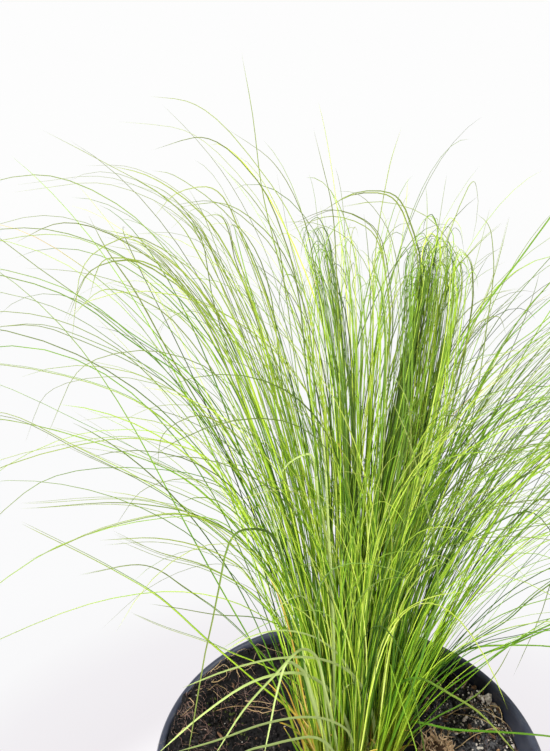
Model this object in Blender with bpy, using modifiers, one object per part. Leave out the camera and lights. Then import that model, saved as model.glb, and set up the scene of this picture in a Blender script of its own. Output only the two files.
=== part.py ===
"""A clump of fine-leaved ornamental grass growing in a black nursery pot.

A Blender 4.5 script that stands alone. Lengths are in metres, +Z is up, the origin is the middle
of the pot's underside, +X is to the right of the photograph's view and +Y points away from it.
The clump is a crown with a ring of shoots on it; each shoot, a tuft, is a short sheath that a few
long thread-like leaves grow out of.
"""
import math

import bmesh
import bpy
import numpy as np
from mathutils import Vector
from mathutils.bvhtree import BVHTree

# Driving dimensions: the pot.
POT_HEIGHT = 0.150
RIM_RADIUS = 0.095
WALL = 0.0014
LIP_WIDTH = 0.0045
LIP_HEIGHT = 0.0100
LIP_CROWN = 0.0030
COLLAR_BOTTOM = 0.1220
STEP_DROP = 0.0025
STEP_WIDTH = 0.0020
BASE_RADIUS = 0.0690
BASE_CHAMFER = 0.0020
FLOOR = 0.0030
DRAIN_HOLES = 6
DRAIN_RING = 0.050
DRAIN_RADIUS = 0.0050

# Driving dimensions: the soil, the crown and what lies on the soil. Each heap of soil against
# the wall has a compass heading in degrees, a height and a reach to either side in degrees.
GAP = 0.0003
WELD = 0.00005
FINE_WELD = 0.000001
SIDES = 32
SOIL_LEVEL = 0.1325
SOIL_FALL = 0.075
SOIL_RINGS = (0.034, 0.048, 0.062, 0.076)
HEAPS = ((148.0, 0.0105, 90.0), (30.0, 0.0140, 34.0))
HEAP_FROM = 0.060
HEAP_WIDTH = 0.028
CROWN_RADIUS = 0.0235
CROWN_TOP = 0.1350
CROWN_BOTTOM = 0.1120
CROWN_EDGE = 0.0020
STUB_PLACE = (0.0465, 0.0140)
STUB_RADIUS = 0.0080
STUB_SIDES = 12
STUB_DEPTH = 0.0060
STUB_HEIGHT = 0.0080

# Driving dimensions: the tufts. The compass lists go round from +X through +Y in steps of 45
# degrees: right, back right, back, back left, left, front left, front, front right.
TUFTS = 44
SPREAD = 0.0200
GOLDEN_ANGLE = math.radians(137.508)
SHEATH_LENGTH = 0.042
SHEATH_RADIUS = 0.0019
SHEATH_TAPER = 0.85
LEAF_RADIUS = 0.00046
LEAF_START = 0.037
LEAF_RING = 0.0009
LEAF_STATIONS = 7
CORE_LEAN = math.radians(2.0)
CORE_LENGTH = 0.300
CORE_BEND = math.radians(85.0)
LEAN = tuple(math.radians(value) for value in (17, 15, 12, 13, 13, 9, 5, 9))
LENGTH = (0.37, 0.36, 0.37, 0.42, 0.45, 0.37, 0.29, 0.31)
BEND = tuple(math.radians(value) for value in (100, 100, 110, 125, 140, 125, 80, 90))
OUTER_RING = 0.80
TALL_EVERY = 4
TALL_INSIDE = 0.85
TALL_LENGTH = 1.08
TALL_BEND = 0.70
FAN = 0.040
LEAST_HEIGHT = 0.030
RIM_CLEARANCE = 0.008
SECTORS = ("right", "back", "left", "front")

# Roots and fallen leaves on the soil: both ends in plan, and how high the middle stands.
FIBRES = {
    "root_right_1": ((0.0600, 0.0395), (0.0835, 0.0220), 0.0065),
    "root_right_2": ((0.0575, -0.0060), (0.0790, 0.0105), 0.0045),
    "root_back": ((0.0560, 0.0560), (0.0300, 0.0700), 0.0060),
    "fallen_leaf_left": ((-0.0360, 0.0370), (-0.0690, 0.0290), 0.0045),
    "fallen_leaf_front": ((-0.0350, -0.0420), (0.0080, -0.0640), 0.0060),
}
FIBRE_RADIUS = 0.0006
FIBRE_STATIONS = 9

COLOURS = {
    "pot_plastic": ((0.016, 0.018, 0.024), 0.35),
    "soil": ((0.020, 0.014, 0.010), 0.95),
    "crown_fibre": ((0.160, 0.095, 0.045), 0.85),
    "leaf": ((0.260, 0.420, 0.070), 0.50),
    "dry_fibre": ((0.420, 0.270, 0.130), 0.75),
}


# ---------------------------------------------------------------- helpers

def clear_scene():
    """Remove whatever the open file holds."""
    for thing in list(bpy.data.objects):
        bpy.data.objects.remove(thing, do_unlink=True)


def new_collection(name):
    """A collection of that name, linked to the scene."""
    collection = bpy.data.collections.new(name)
    bpy.context.scene.collection.children.link(collection)
    return collection


def new_material(name):
    """A Principled material with the slot's colour and roughness."""
    colour, roughness = COLOURS[name]
    material = bpy.data.materials.new(name)
    material.use_nodes = True
    shader = material.node_tree.nodes["Principled BSDF"]
    shader.inputs["Base Color"].default_value = (*colour, 1.0)
    shader.inputs["Roughness"].default_value = roughness
    shader.inputs["Metallic"].default_value = 0.0
    material.diffuse_color = (*colour, 1.0)
    return material


def add_object(name, data, collection, place=(0.0, 0.0, 0.0)):
    """An object with that data, linked to a collection."""
    thing = bpy.data.objects.new(name, data)
    thing.location = place
    collection.objects.link(thing)
    return thing


def hide_guide(thing):
    """Mark a cutter or a guide curve: it isn't a part of the plant."""
    thing.hide_render = True
    thing.display_type = "WIRE"


def applied_mesh(thing, name, weld):
    """The object's shape with its modifiers applied, its points welded and its faces outward."""
    bpy.context.view_layer.update()
    evaluated = thing.evaluated_get(bpy.context.evaluated_depsgraph_get())
    mesh = bpy.data.meshes.new_from_object(evaluated)
    mesh.name = name
    shape = bmesh.new()
    shape.from_mesh(mesh)
    bmesh.ops.remove_doubles(shape, verts=shape.verts, dist=weld)
    bmesh.ops.recalc_face_normals(shape, faces=shape.faces)
    shape.to_mesh(mesh)
    shape.free()
    return mesh


def made_solid(thing, collection, weld=WELD):
    """Swap a curve or a modified object for a plain mesh object in the same place."""
    name = thing.name
    place = thing.location.copy()
    mesh = applied_mesh(thing, name, weld)
    bpy.data.objects.remove(thing, do_unlink=True)
    return add_object(name, mesh, collection, place)


def boolean(target, other, operation):
    """Add an exact Boolean of the target with another closed mesh."""
    modifier = target.modifiers.new(operation.lower(), "BOOLEAN")
    modifier.operation = operation
    modifier.solver = "EXACT"
    modifier.object = other


def finish(thing, material, parent, smooth_angle=None):
    """Give a part its material and its parent, and shade it."""
    thing.data.materials.clear()
    thing.data.materials.append(material)
    thing.parent = parent
    if smooth_angle is not None:
        thing.data.shade_smooth()
        thing.data.set_sharp_from_angle(angle=smooth_angle)


def turned(name, profile, sides, collection, place=(0.0, 0.0, 0.0)):
    """A solid turned about +Z from (radius, height) points that start and end on the axis."""
    points = [(radius, 0.0, height) for radius, height in profile]
    edges = [(index, index + 1) for index in range(len(points) - 1)]
    mesh = bpy.data.meshes.new(name)
    mesh.from_pydata(points, edges, [])
    thing = add_object(name, mesh, collection, place)
    screw = thing.modifiers.new("turn", "SCREW")
    screw.axis = "Z"
    screw.angle = math.tau
    screw.steps = sides
    screw.render_steps = sides
    screw.use_merge_vertices = True
    screw.merge_threshold = 0.00001
    return made_solid(thing, collection)


def tube(name, points, radii, collection, place=(0.0, 0.0, 0.0), section=None):
    """A capped tube along a poly curve, with its own radius at every point.

    Without a section the tube is hexagonal; a section is a closed guide curve of radius 1.
    """
    curve = bpy.data.curves.new(name, "CURVE")
    curve.dimensions = "3D"
    curve.use_fill_caps = True
    if section is None:
        curve.bevel_depth = 1.0
        curve.bevel_resolution = 1
    else:
        curve.bevel_mode = "OBJECT"
        curve.bevel_object = section
    spline = curve.splines.new("POLY")
    spline.points.add(len(points) - 1)
    for station, point, radius in zip(spline.points, points, radii):
        station.co = (*point, 1.0)
        station.radius = radius
    return made_solid(add_object(name, curve, collection, place), collection)


# ---------------------------------------------------------------- pot

def outer_radius(height):
    """The pot's outer wall between the chamfer and the step below the collar."""
    top = RIM_RADIUS - LIP_WIDTH + WALL - STEP_WIDTH
    share = (height - BASE_CHAMFER) / (COLLAR_BOTTOM - STEP_DROP - BASE_CHAMFER)
    return BASE_RADIUS + (top - BASE_RADIUS) * share


def inner_radius(height):
    """The pot's inner wall: a long taper, a short step out, and the collar up to the lip."""
    step_top = COLLAR_BOTTOM + WALL
    step_bottom = COLLAR_BOTTOM - STEP_DROP + WALL
    if height <= step_bottom:
        return outer_radius(height) - WALL
    below = outer_radius(step_bottom) - WALL
    collar = RIM_RADIUS - LIP_WIDTH
    if height >= step_top:
        return collar
    return below + (collar - below) * (height - step_bottom) / (step_top - step_bottom)


def pot_profile():
    """From the middle of the floor out, up the inside, over the lip and down the outside."""
    step_top = COLLAR_BOTTOM + WALL
    step_bottom = COLLAR_BOTTOM - STEP_DROP + WALL
    profile = [(0.0, FLOOR)]
    for height in (FLOOR, step_bottom, step_top, POT_HEIGHT - LIP_CROWN):
        profile.append((inner_radius(height), height))
    middle = RIM_RADIUS - LIP_WIDTH / 2
    for step in range(1, 4):
        turn = math.pi * (1 - step / 4)
        profile.append((middle + LIP_WIDTH / 2 * math.cos(turn),
                        POT_HEIGHT - LIP_CROWN + LIP_CROWN * math.sin(turn)))
    collar = RIM_RADIUS - LIP_WIDTH + WALL
    profile += [
        (RIM_RADIUS, POT_HEIGHT - LIP_CROWN),
        (RIM_RADIUS, POT_HEIGHT - LIP_HEIGHT),
        (collar, POT_HEIGHT - LIP_HEIGHT),
        (collar, COLLAR_BOTTOM),
        (outer_radius(COLLAR_BOTTOM - STEP_DROP), COLLAR_BOTTOM - STEP_DROP),
        (BASE_RADIUS, BASE_CHAMFER),
        (BASE_RADIUS - BASE_CHAMFER, 0.0),
        (0.0, 0.0),
    ]
    return profile


def make_pot(collection, cutters):
    """The turned pot with a ring of drain holes round a whole middle."""
    pot = turned("pot", pot_profile(), SIDES, collection)
    for index in range(DRAIN_HOLES):
        turn = math.tau * index / DRAIN_HOLES
        bpy.ops.mesh.primitive_cylinder_add(
            vertices=8, radius=DRAIN_RADIUS, depth=4 * FLOOR,
            location=(DRAIN_RING * math.cos(turn), DRAIN_RING * math.sin(turn), FLOOR / 2))
        cutter = bpy.context.object
        cutter.name = "drain_cutter_%d" % (index + 1)
        for owner in list(cutter.users_collection):
            owner.objects.unlink(cutter)
        cutters.objects.link(cutter)
        hide_guide(cutter)
        boolean(pot, cutter, "DIFFERENCE")
    return pot


# ---------------------------------------------------------------- soil and crown

def soil_height(x, y):
    """The soil's top: it falls to the right, with hollows, humps and heaps against the wall.

    A heap climbs smoothly on its way out to the wall and fades to both sides of its heading.
    """
    humps = 0.0012 * math.sin(95 * x + 1.3) * math.cos(80 * y - 0.4)
    humps += 0.0008 * math.sin(170 * x - 140 * y)
    out = min(max((math.hypot(x, y) - HEAP_FROM) / HEAP_WIDTH, 0.0), 1.0)
    climb = out * out * (3 - 2 * out)
    for heading, height, reach in HEAPS:
        turn = (math.atan2(y, x) - math.radians(heading) + math.pi) % math.tau - math.pi
        aside = min(abs(turn) / math.radians(reach), 1.0)
        humps += height * climb * (1 - aside * aside * (3 - 2 * aside))
    return SOIL_LEVEL - SOIL_FALL * x + humps


def crown_profile():
    """A low drum with eased edges, a flat top that the tufts stand on, and a drawn-in foot."""
    return [
        (0.0, CROWN_TOP),
        (CROWN_RADIUS - CROWN_EDGE, CROWN_TOP),
        (CROWN_RADIUS, CROWN_TOP - CROWN_EDGE / 2),
        (CROWN_RADIUS, CROWN_BOTTOM),
        (0.0, CROWN_BOTTOM),
    ]


def stub_profile(height, radius, depth):
    """A round-topped stump, measured from the soil's surface."""
    profile = [(0.0, height)]
    for step in range(1, 3):
        turn = math.pi / 2 * (1 - step / 3)
        profile.append((radius * math.cos(turn), height * math.sin(turn)))
    profile += [(radius, 0.0), (radius, -depth), (0.0, -depth)]
    return profile


def stub_level():
    """The soil's height under the old stump."""
    return soil_height(*STUB_PLACE)


def make_soil(collection, cutters):
    """The soil fills the pot up to an uneven top, with a pocket for the crown and the stump."""
    pocket = CROWN_RADIUS + GAP
    bottom = FLOOR + GAP
    profile = [(0.0, CROWN_BOTTOM - GAP), (pocket, CROWN_BOTTOM - GAP), (pocket, SOIL_LEVEL)]
    profile += [(radius, SOIL_LEVEL) for radius in SOIL_RINGS]
    profile += [(inner_radius(SOIL_LEVEL) - GAP, SOIL_LEVEL)]
    for height in (COLLAR_BOTTOM - STEP_DROP + WALL, bottom):
        profile.append((inner_radius(height) - GAP, height))
    profile.append((0.0, bottom))
    soil = turned("soil", profile, SIDES, collection)
    for point in soil.data.vertices:
        if point.co.z < SOIL_LEVEL - 0.0001:
            continue
        height = soil_height(point.co.x, point.co.y)
        radius = math.hypot(point.co.x, point.co.y)
        if radius > SOIL_RINGS[-1] + 0.001:
            scale = (inner_radius(height) - GAP) / radius
            point.co.x *= scale
            point.co.y *= scale
        point.co.z = height
    place = (*STUB_PLACE, stub_level())
    profile = stub_profile(2 * STUB_HEIGHT, STUB_RADIUS + GAP, STUB_DEPTH + GAP)
    cutter = turned("stub_cutter", profile, STUB_SIDES, cutters, place)
    hide_guide(cutter)
    boolean(soil, cutter, "DIFFERENCE")
    return soil


# ---------------------------------------------------------------- tufts

def by_compass(values, heading):
    """Read a compass list at any heading, in radians, with smooth steps between its entries."""
    place = (heading % math.tau) / math.tau * len(values)
    low = int(place) % len(values)
    share = place - int(place)
    return values[low] * (1 - share) + values[(low + 1) % len(values)] * share


def tuft_plan(index):
    """Where a tuft stands on the crown and how it leans, bends and how long it is.

    The tufts stand on a sunflower spiral, and lean, reach and droop more towards the outside.
    """
    ring = math.sqrt((index + 0.5) / TUFTS)
    heading = index * GOLDEN_ANGLE
    outward = ring ** 2.4
    return {
        "ring": ring,
        "heading": heading,
        "base": (SPREAD * ring * math.cos(heading), SPREAD * ring * math.sin(heading),
                 CROWN_TOP + GAP),
        "lean": CORE_LEAN + (by_compass(LEAN, heading) - CORE_LEAN) * outward,
        "length": CORE_LENGTH + (by_compass(LENGTH, heading) - CORE_LENGTH) * outward,
        "bend": CORE_BEND + (by_compass(BEND, heading) - CORE_BEND) * outward,
        "power": 2.0 + 2.5 * (1 - ring),
    }


def sector(heading):
    """The side of the clump that a heading points to."""
    return SECTORS[int((heading % math.tau) / (math.pi / 2) + 0.5) % 4]


def tuft_name(index, counts):
    """A name such as tuft_left_03; the tufts of the inner third are called middle."""
    plan = tuft_plan(index)
    side = "middle" if plan["ring"] < 0.5 else sector(plan["heading"])
    counts[side] = counts.get(side, 0) + 1
    return "tuft_%s_%02d" % (side, counts[side])


def bent_path(start, tilt_x, tilt_y, bend, power, length, stations):
    """A leaf's centre line: it leaves at a tilt and bends over more and more towards its tip.

    At the share s of its length the leaf leans atan(tilt) + bend * s ** power from upright, and
    its place is the sum of the unit directions up to there.
    """
    fine = np.linspace(0.0, 1.0, 121)
    lean = math.atan(math.hypot(tilt_x, tilt_y)) + bend * fine ** power
    heading = math.atan2(tilt_y, tilt_x)
    direction = np.stack([np.sin(lean) * math.cos(heading), np.sin(lean) * math.sin(heading),
                          np.cos(lean)], axis=1)
    steps = (direction[1:] + direction[:-1]) / 2 * length / (len(fine) - 1)
    line = np.vstack([np.zeros(3), np.cumsum(steps, axis=0)])
    picked = np.linspace(0.0, 1.0, stations) ** 0.8
    return np.array(start) + np.array([np.interp(picked, fine, line[:, axis])
                                       for axis in range(3)]).T


def segment_gap(path, others):
    """The least distance between a path's segments and each of the other segments."""
    start_a = path[:-1, None]
    along_a = path[1:, None] - start_a
    start_b = others[None, :, 0]
    along_b = others[None, :, 1] - start_b
    between = start_a - start_b
    aa = (along_a * along_a).sum(2)
    bb = (along_b * along_b).sum(2)
    ab = (along_a * along_b).sum(2)
    ac = (along_a * between).sum(2)
    bc = (along_b * between).sum(2)
    spread = np.maximum(aa * bb - ab * ab, 1e-18)
    share_a = np.clip((ab * bc - ac * bb) / spread, 0, 1)
    share_b = np.clip((ab * share_a + bc) / bb, 0, 1)
    share_a = np.clip((ab * share_b - ac) / aa, 0, 1)
    apart = between + share_a[..., None] * along_a - share_b[..., None] * along_b
    return np.sqrt((apart * apart).sum(2)).min(axis=0)


def is_clear(path, obstacles):
    """Whether a leaf keeps clear of what has grown, the soil, the rim and the ground."""
    for point in path[1:]:
        radius = math.hypot(point[0], point[1])
        if point[2] < LEAST_HEIGHT:
            return False
        if radius < RIM_RADIUS + RIM_CLEARANCE and point[2] < POT_HEIGHT + RIM_CLEARANCE:
            return False
    segments = np.array([ends for ends, _ in obstacles])
    reach = np.array([radius for _, radius in obstacles]) + LEAF_RADIUS + GAP
    return bool((segment_gap(path, segments) > reach).all())


def leaf_segments(path):
    """A leaf's straight stretches, each with the leaf's radius."""
    return [((path[k], path[k + 1]), LEAF_RADIUS) for k in range(len(path) - 1)]


def tuft_leaves(index, obstacles, rng):
    """The centre lines of a tuft's leaves, each turned a little until it is clear."""
    plan = tuft_plan(index)
    count = 4 if plan["ring"] > OUTER_RING else 3
    has_tall_leaf = index % TALL_EVERY == 1 and plan["ring"] < TALL_INSIDE
    tilt_x = math.tan(plan["lean"]) * math.cos(plan["heading"])
    tilt_y = math.tan(plan["lean"]) * math.sin(plan["heading"])
    root = Vector(plan["base"]) + Vector((tilt_x, tilt_y, 1.0)).normalized() * LEAF_START
    paths = []
    for leaf in range(count):
        turn = plan["heading"] + math.tau * leaf / count
        tall = has_tall_leaf and leaf == 0
        share = TALL_LENGTH if tall else 1.0 - 0.10 * leaf
        bend = plan["bend"] * (TALL_BEND if tall else share * share)
        start = root + LEAF_RING * Vector((math.cos(turn), math.sin(turn), 0.0))
        own = [segment for path in paths for segment in leaf_segments(path)]
        for attempt in range(200):
            stray = 0.020 + 0.0006 * attempt
            path = bent_path(
                start,
                tilt_x + FAN * math.cos(turn) + stray * rng.normal(),
                tilt_y + FAN * math.sin(turn) + stray * rng.normal(),
                bend * rng.uniform(0.85, 1.2),
                plan["power"] * rng.uniform(0.85, 1.15),
                (plan["length"] - LEAF_START) * share,
                LEAF_STATIONS)
            if is_clear(path, obstacles + own):
                paths.append(path)
                break
    return paths


def sheath_line(plan):
    """Both ends and the middle of a tuft's sheath."""
    tilt = Vector((math.tan(plan["lean"]) * math.cos(plan["heading"]),
                   math.tan(plan["lean"]) * math.sin(plan["heading"]), 1.0)).normalized()
    base = Vector(plan["base"])
    return [base + tilt * (SHEATH_LENGTH * share) for share in (0.0, 0.5, 1.0)]


def level_foot(sheath):
    """Bring the sheath's lowest points down to the level of its base, to stand flat."""
    for point in sheath.data.vertices:
        if point.co.z < SHEATH_LENGTH / 4:
            point.co.z = 0.0


def make_tuft(name, index, paths, section, collection):
    """One tuft: its leaves are fused into the sheath that they grow from."""
    plan = tuft_plan(index)
    base = Vector(plan["base"])
    line = [point - base for point in sheath_line(plan)]
    radii = [SHEATH_RADIUS, SHEATH_RADIUS, SHEATH_RADIUS * SHEATH_TAPER]
    sheath = tube(name, line, radii, collection, base)
    level_foot(sheath)
    taper = [LEAF_RADIUS * (1 - 0.55 * station / (LEAF_STATIONS - 2))
             for station in range(LEAF_STATIONS - 1)] + [0.00002]
    leaves = []
    for number, path in enumerate(paths):
        points = [Vector(point) - base for point in path]
        leaf = tube("%s_leaf_%d" % (name, number + 1), points, taper, collection, base, section)
        boolean(sheath, leaf, "UNION")
        leaves.append(leaf)
    tuft = made_solid(sheath, collection, FINE_WELD)
    for leaf in leaves:
        bpy.data.objects.remove(leaf, do_unlink=True)
    tuft.name = name
    return tuft


def make_tufts(collection, cutters):
    """Grow every tuft from the middle of the crown outwards."""
    corners = [(math.cos(math.tau * k / 3), math.sin(math.tau * k / 3), 0.0) for k in range(3)]
    outline = bpy.data.curves.new("leaf_section", "CURVE")
    spline = outline.splines.new("POLY")
    spline.points.add(len(corners) - 1)
    for station, corner in zip(spline.points, corners):
        station.co = (*corner, 1.0)
    spline.use_cyclic_u = True
    section = add_object("leaf_section", outline, cutters)
    hide_guide(section)
    rng = np.random.default_rng(7)
    sheaths = []
    for index in range(TUFTS):
        foot, _, top = sheath_line(tuft_plan(index))
        sheaths.append(((np.array(foot), np.array(top)), SHEATH_RADIUS))
    leaves = []
    counts = {}
    tufts = []
    for index in range(TUFTS):
        others = sheaths[:index] + sheaths[index + 1:]
        paths = tuft_leaves(index, others + leaves, rng)
        for path in paths:
            leaves += leaf_segments(path)
        tufts.append(make_tuft(tuft_name(index, counts), index, paths, section, collection))
    return tufts


# ---------------------------------------------------------------- roots and fallen leaves

def make_fibre(name, ends, height, soil_tree, collection):
    """A root or a fallen leaf: an arch whose ends lie on the soil."""
    (x0, y0), (x1, y1) = ends
    points = []
    lift = FIBRE_RADIUS + GAP
    for station in range(FIBRE_STATIONS):
        share = station / (FIBRE_STATIONS - 1)
        bow = 0.12 * math.sin(math.pi * share)
        x = x0 + (x1 - x0) * share + bow * (y1 - y0)
        y = y0 + (y1 - y0) * share - bow * (x1 - x0)
        ground = soil_tree.ray_cast(Vector((x, y, POT_HEIGHT)), Vector((0, 0, -1)))[0].z
        points.append(Vector((x, y, ground + lift + height * math.sin(math.pi * share) ** 0.8)))
    start = points[0].copy()
    points = [point - start for point in points]
    radii = [FIBRE_RADIUS * (1 - 0.5 * station / (FIBRE_STATIONS - 1))
             for station in range(FIBRE_STATIONS)]
    return tube(name, points, radii, collection, start)


def main():
    """Build the potted grass."""
    clear_scene()
    parts = new_collection("potted_grass_clump")
    cutters = new_collection("cutters")
    materials = {name: new_material(name) for name in COLOURS}
    root = bpy.data.objects.new("potted_grass", None)
    parts.objects.link(root)

    finish(make_pot(parts, cutters), materials["pot_plastic"], root, math.radians(40))

    soil = make_soil(parts, cutters)
    finish(soil, materials["soil"], root)

    crown = turned("crown", crown_profile(), SIDES, parts)
    finish(crown, materials["crown_fibre"], root, math.radians(40))

    stub = turned("old_stump", stub_profile(STUB_HEIGHT, STUB_RADIUS, STUB_DEPTH), STUB_SIDES,
                  parts, (*STUB_PLACE, stub_level()))
    finish(stub, materials["crown_fibre"], root, math.radians(40))

    for tuft in make_tufts(parts, cutters):
        finish(tuft, materials["leaf"], root)

    shape = bmesh.new()
    shape.from_mesh(soil.data)
    soil_tree = BVHTree.FromBMesh(shape)
    for name, (start, end, height) in FIBRES.items():
        fibre = make_fibre(name, (start, end), height, soil_tree, parts)
        finish(fibre, materials["dry_fibre"], root, math.radians(40))
    shape.free()


main()
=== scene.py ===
# %% [markdown]
# # A clump of thread-leaved grass in a black nursery pot
#
# The real object is a young ornamental grass: hundreds of leaves as thin as thread rise from a
# small woody crown, stand almost upright in the middle and arch over on every side. It grows in
# dark potting soil in a round black plastic pot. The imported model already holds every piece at
# its real size, as plain solids. This lesson makes the fine surfaces around that fixed frame:
# the turned pot, the crumbly soil, the fibrous crown and each single leaf.

# %% Load the fixed frame
import math

import bpy
import numpy as np
from mathutils import Matrix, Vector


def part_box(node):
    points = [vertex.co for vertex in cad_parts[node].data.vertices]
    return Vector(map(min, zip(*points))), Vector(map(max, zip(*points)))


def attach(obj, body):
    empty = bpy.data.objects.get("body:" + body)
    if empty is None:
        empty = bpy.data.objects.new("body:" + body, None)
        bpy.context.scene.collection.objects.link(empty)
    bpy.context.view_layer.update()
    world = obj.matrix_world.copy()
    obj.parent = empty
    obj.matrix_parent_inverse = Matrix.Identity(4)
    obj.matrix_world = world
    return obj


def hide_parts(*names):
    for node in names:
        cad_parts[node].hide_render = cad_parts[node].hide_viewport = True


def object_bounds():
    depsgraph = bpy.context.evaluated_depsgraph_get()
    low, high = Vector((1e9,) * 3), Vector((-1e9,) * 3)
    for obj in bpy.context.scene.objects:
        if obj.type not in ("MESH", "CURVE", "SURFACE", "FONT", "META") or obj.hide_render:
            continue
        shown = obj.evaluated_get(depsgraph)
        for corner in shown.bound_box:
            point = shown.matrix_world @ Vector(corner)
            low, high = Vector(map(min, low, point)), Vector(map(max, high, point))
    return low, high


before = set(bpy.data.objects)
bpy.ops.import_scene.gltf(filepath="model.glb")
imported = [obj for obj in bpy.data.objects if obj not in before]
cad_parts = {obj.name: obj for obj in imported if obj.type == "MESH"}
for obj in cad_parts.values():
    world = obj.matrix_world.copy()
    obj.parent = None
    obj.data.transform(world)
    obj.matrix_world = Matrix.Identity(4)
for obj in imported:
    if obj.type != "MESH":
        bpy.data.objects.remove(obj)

CAD_LOW, CAD_HIGH = [list(corner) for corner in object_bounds()]
scene = bpy.context.scene
print("nodes in the frame:", len(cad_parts))
print("model box in mm:", [round(1000 * (b - a)) for a, b in zip(CAD_LOW, CAD_HIGH)])

# %% [markdown]
# ## The camera
#
# A render can only be set beside a photograph when the camera stands where the photographer
# stood. The pot's mouth is a circle of known size, so the ellipse that it draws in the picture
# gives the tilt, the distance and the focal length. Blender wants the focal length as a lens in
# millimetres on a sensor that lies along the picture's longer side.

# %% Camera values
PHOTO_WIDTH = 550
PHOTO_HEIGHT = 751
FOCAL_PIXELS = 850.0
SENSOR = 36.0
CLIP = (0.01, 200.0)
CAMERA_PLACE = np.array([-0.0365, -0.3022, 0.4910])
CAMERA_PITCH = math.radians(24.6)

camera_data = bpy.data.cameras.new("photo_camera")
camera_data.sensor_width = SENSOR
camera_data.lens = FOCAL_PIXELS / PHOTO_HEIGHT * SENSOR
camera_data.clip_start, camera_data.clip_end = CLIP
camera = bpy.data.objects.new("photo_camera", camera_data)
camera.location = CAMERA_PLACE
camera.rotation_euler = (math.pi / 2 - CAMERA_PITCH, 0.0, 0.0)
scene.collection.objects.link(camera)
scene.camera = camera
print("lens in mm:", round(camera_data.lens, 2))


# %% From a pixel to a place
def pixel_ray(x, y):
    """Direction of a pixel's sight line: one step forward, x to the right, y downwards."""
    right = (np.asarray(x, float) - PHOTO_WIDTH / 2) / FOCAL_PIXELS
    down = (np.asarray(y, float) - PHOTO_HEIGHT / 2) / FOCAL_PIXELS
    forward = np.array([0.0, math.cos(CAMERA_PITCH), -math.sin(CAMERA_PITCH)])
    upward = np.array([0.0, math.sin(CAMERA_PITCH), math.cos(CAMERA_PITCH)])
    return forward + right[..., None] * np.array([1.0, 0.0, 0.0]) - down[..., None] * upward


def as_pixels(numbers):
    """A row of plain numbers x, y, x, y and so on as pixels (n, 2)."""
    return np.array(numbers, float).reshape(-1, 2)


def on_level(pixels, height):
    """Where the sight lines of pixels (n, 2) meet the level plane at a height."""
    pixels = np.atleast_2d(np.asarray(pixels, float))
    ray = pixel_ray(pixels[:, 0], pixels[:, 1])
    return CAMERA_PLACE + ray * ((height - CAMERA_PLACE[2]) / ray[:, 2])[:, None]


def on_upright_plane(pixels, root, heading):
    """Where sight lines meet the upright plane that stands on a root and runs along a heading."""
    pixels = np.atleast_2d(np.asarray(pixels, float))
    ray = pixel_ray(pixels[:, 0], pixels[:, 1])
    across = np.array([-math.sin(heading), math.cos(heading), 0.0])
    distance = (np.asarray(root) - CAMERA_PLACE) @ across
    return CAMERA_PLACE + ray * (distance / (ray @ across))[:, None]


# %% [markdown]
# ## Floor and light
#
# The picture is bright and high in key: a white floor that runs back without an edge, and soft
# light from above and from the left. The floor is a wide disc. Close to the pot it is a matt
# pale surface that takes the pot's shadow. Further out it glows, to the camera only: painted
# light whose white grows into that of the sky, so no horizon shows from any side, and which is
# a little greyer near the pot, a painted shade. The sky looks white but lights the plant a little
# less, so that the hollows between the leaves stay dark. Three large soft lamps do the rest:
# a strong one at the front left, and two weak ones at the right and the front right.

# %% Floor, sky and lamps
FLOOR_RINGS = (0.3, 0.8, 1.6, 4.0, 12.0, 60.0)
FLOOR_SIDES = 96
SKY_SEEN = 0.985
SKY_LIGHT = 0.20
FLOOR_WHITE = (0.90, 0.895, 0.91, 1.0)
FLOOR_GREY = (0.88, 0.88, 0.895, 1.0)
# Painted light: the camera sees the floor glow, greyer near the pot as painted shade, whiter far
# off.
PAINTED_FLOOR_LIGHT_STOPS = ((0.10, (0.860, 0.830, 0.860)), (0.135, (0.890, 0.870, 0.895)),
              (0.160, (0.948, 0.945, 0.955)), (0.20, (0.962, 0.962, 0.970)),
              (0.50, (0.966, 0.966, 0.970)), (1.0, (0.983, 0.983, 0.983)))
GLOW_FROM = 0.10
GLOW_TO = 0.21
GLOW_EVEN = 2.00
LAMPS = {
    "key": ((-0.9, -0.9, 1.5), 0.5, 64.0),
    "fill": ((1.2, 0.3, 1.3), 1.2, 12.0),
    "front": ((0.9, -1.1, 1.0), 0.8, 8.0),
}
LAMP_AIM = np.array([0.0, 0.0, 0.25])


def around(radius, turn, height):
    """Points round the upright axis: (radius cos turn, radius sin turn, height)."""
    x, y, z = np.broadcast_arrays(radius * np.cos(turn), radius * np.sin(turn), height)
    return np.stack([x, y, z], axis=-1)


def ring_points(radii, heights, sides):
    """Points of a turned surface, row by row, each row a full turn round the axis."""
    turn = np.linspace(0.0, math.tau, sides, endpoint=False)
    return around(np.asarray(radii, float)[:, None], turn, np.asarray(heights, float)[:, None])


def ring_faces(rows, sides):
    """Quads between neighbouring rows of a turned surface whose rows run outwards or upwards."""
    row, side = np.meshgrid(np.arange(rows - 1), np.arange(sides), indexing="ij")
    after = (side + 1) % sides
    quads = [row * sides + side, row * sides + after,
             (row + 1) * sides + after, (row + 1) * sides + side]
    return np.stack(quads, axis=-1).reshape(-1, 4)


def fan_faces(pole, ring_start, sides, flip=False):
    """Triangles from a pole point to the closed ring that starts at an index."""
    side = np.arange(sides)
    after = (side + 1) % sides
    pair = (after, side) if flip else (side, after)
    return np.stack([np.full(sides, pole), ring_start + pair[0], ring_start + pair[1]], axis=-1)


def closed_faces(rows, sides):
    """Faces of a closed turned surface whose last two points are its first and last pole."""
    poles = rows * sides
    return [ring_faces(rows, sides)[:, ::-1], fan_faces(poles, 0, sides),
            fan_faces(poles + 1, poles - sides, sides, flip=True)]


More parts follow.
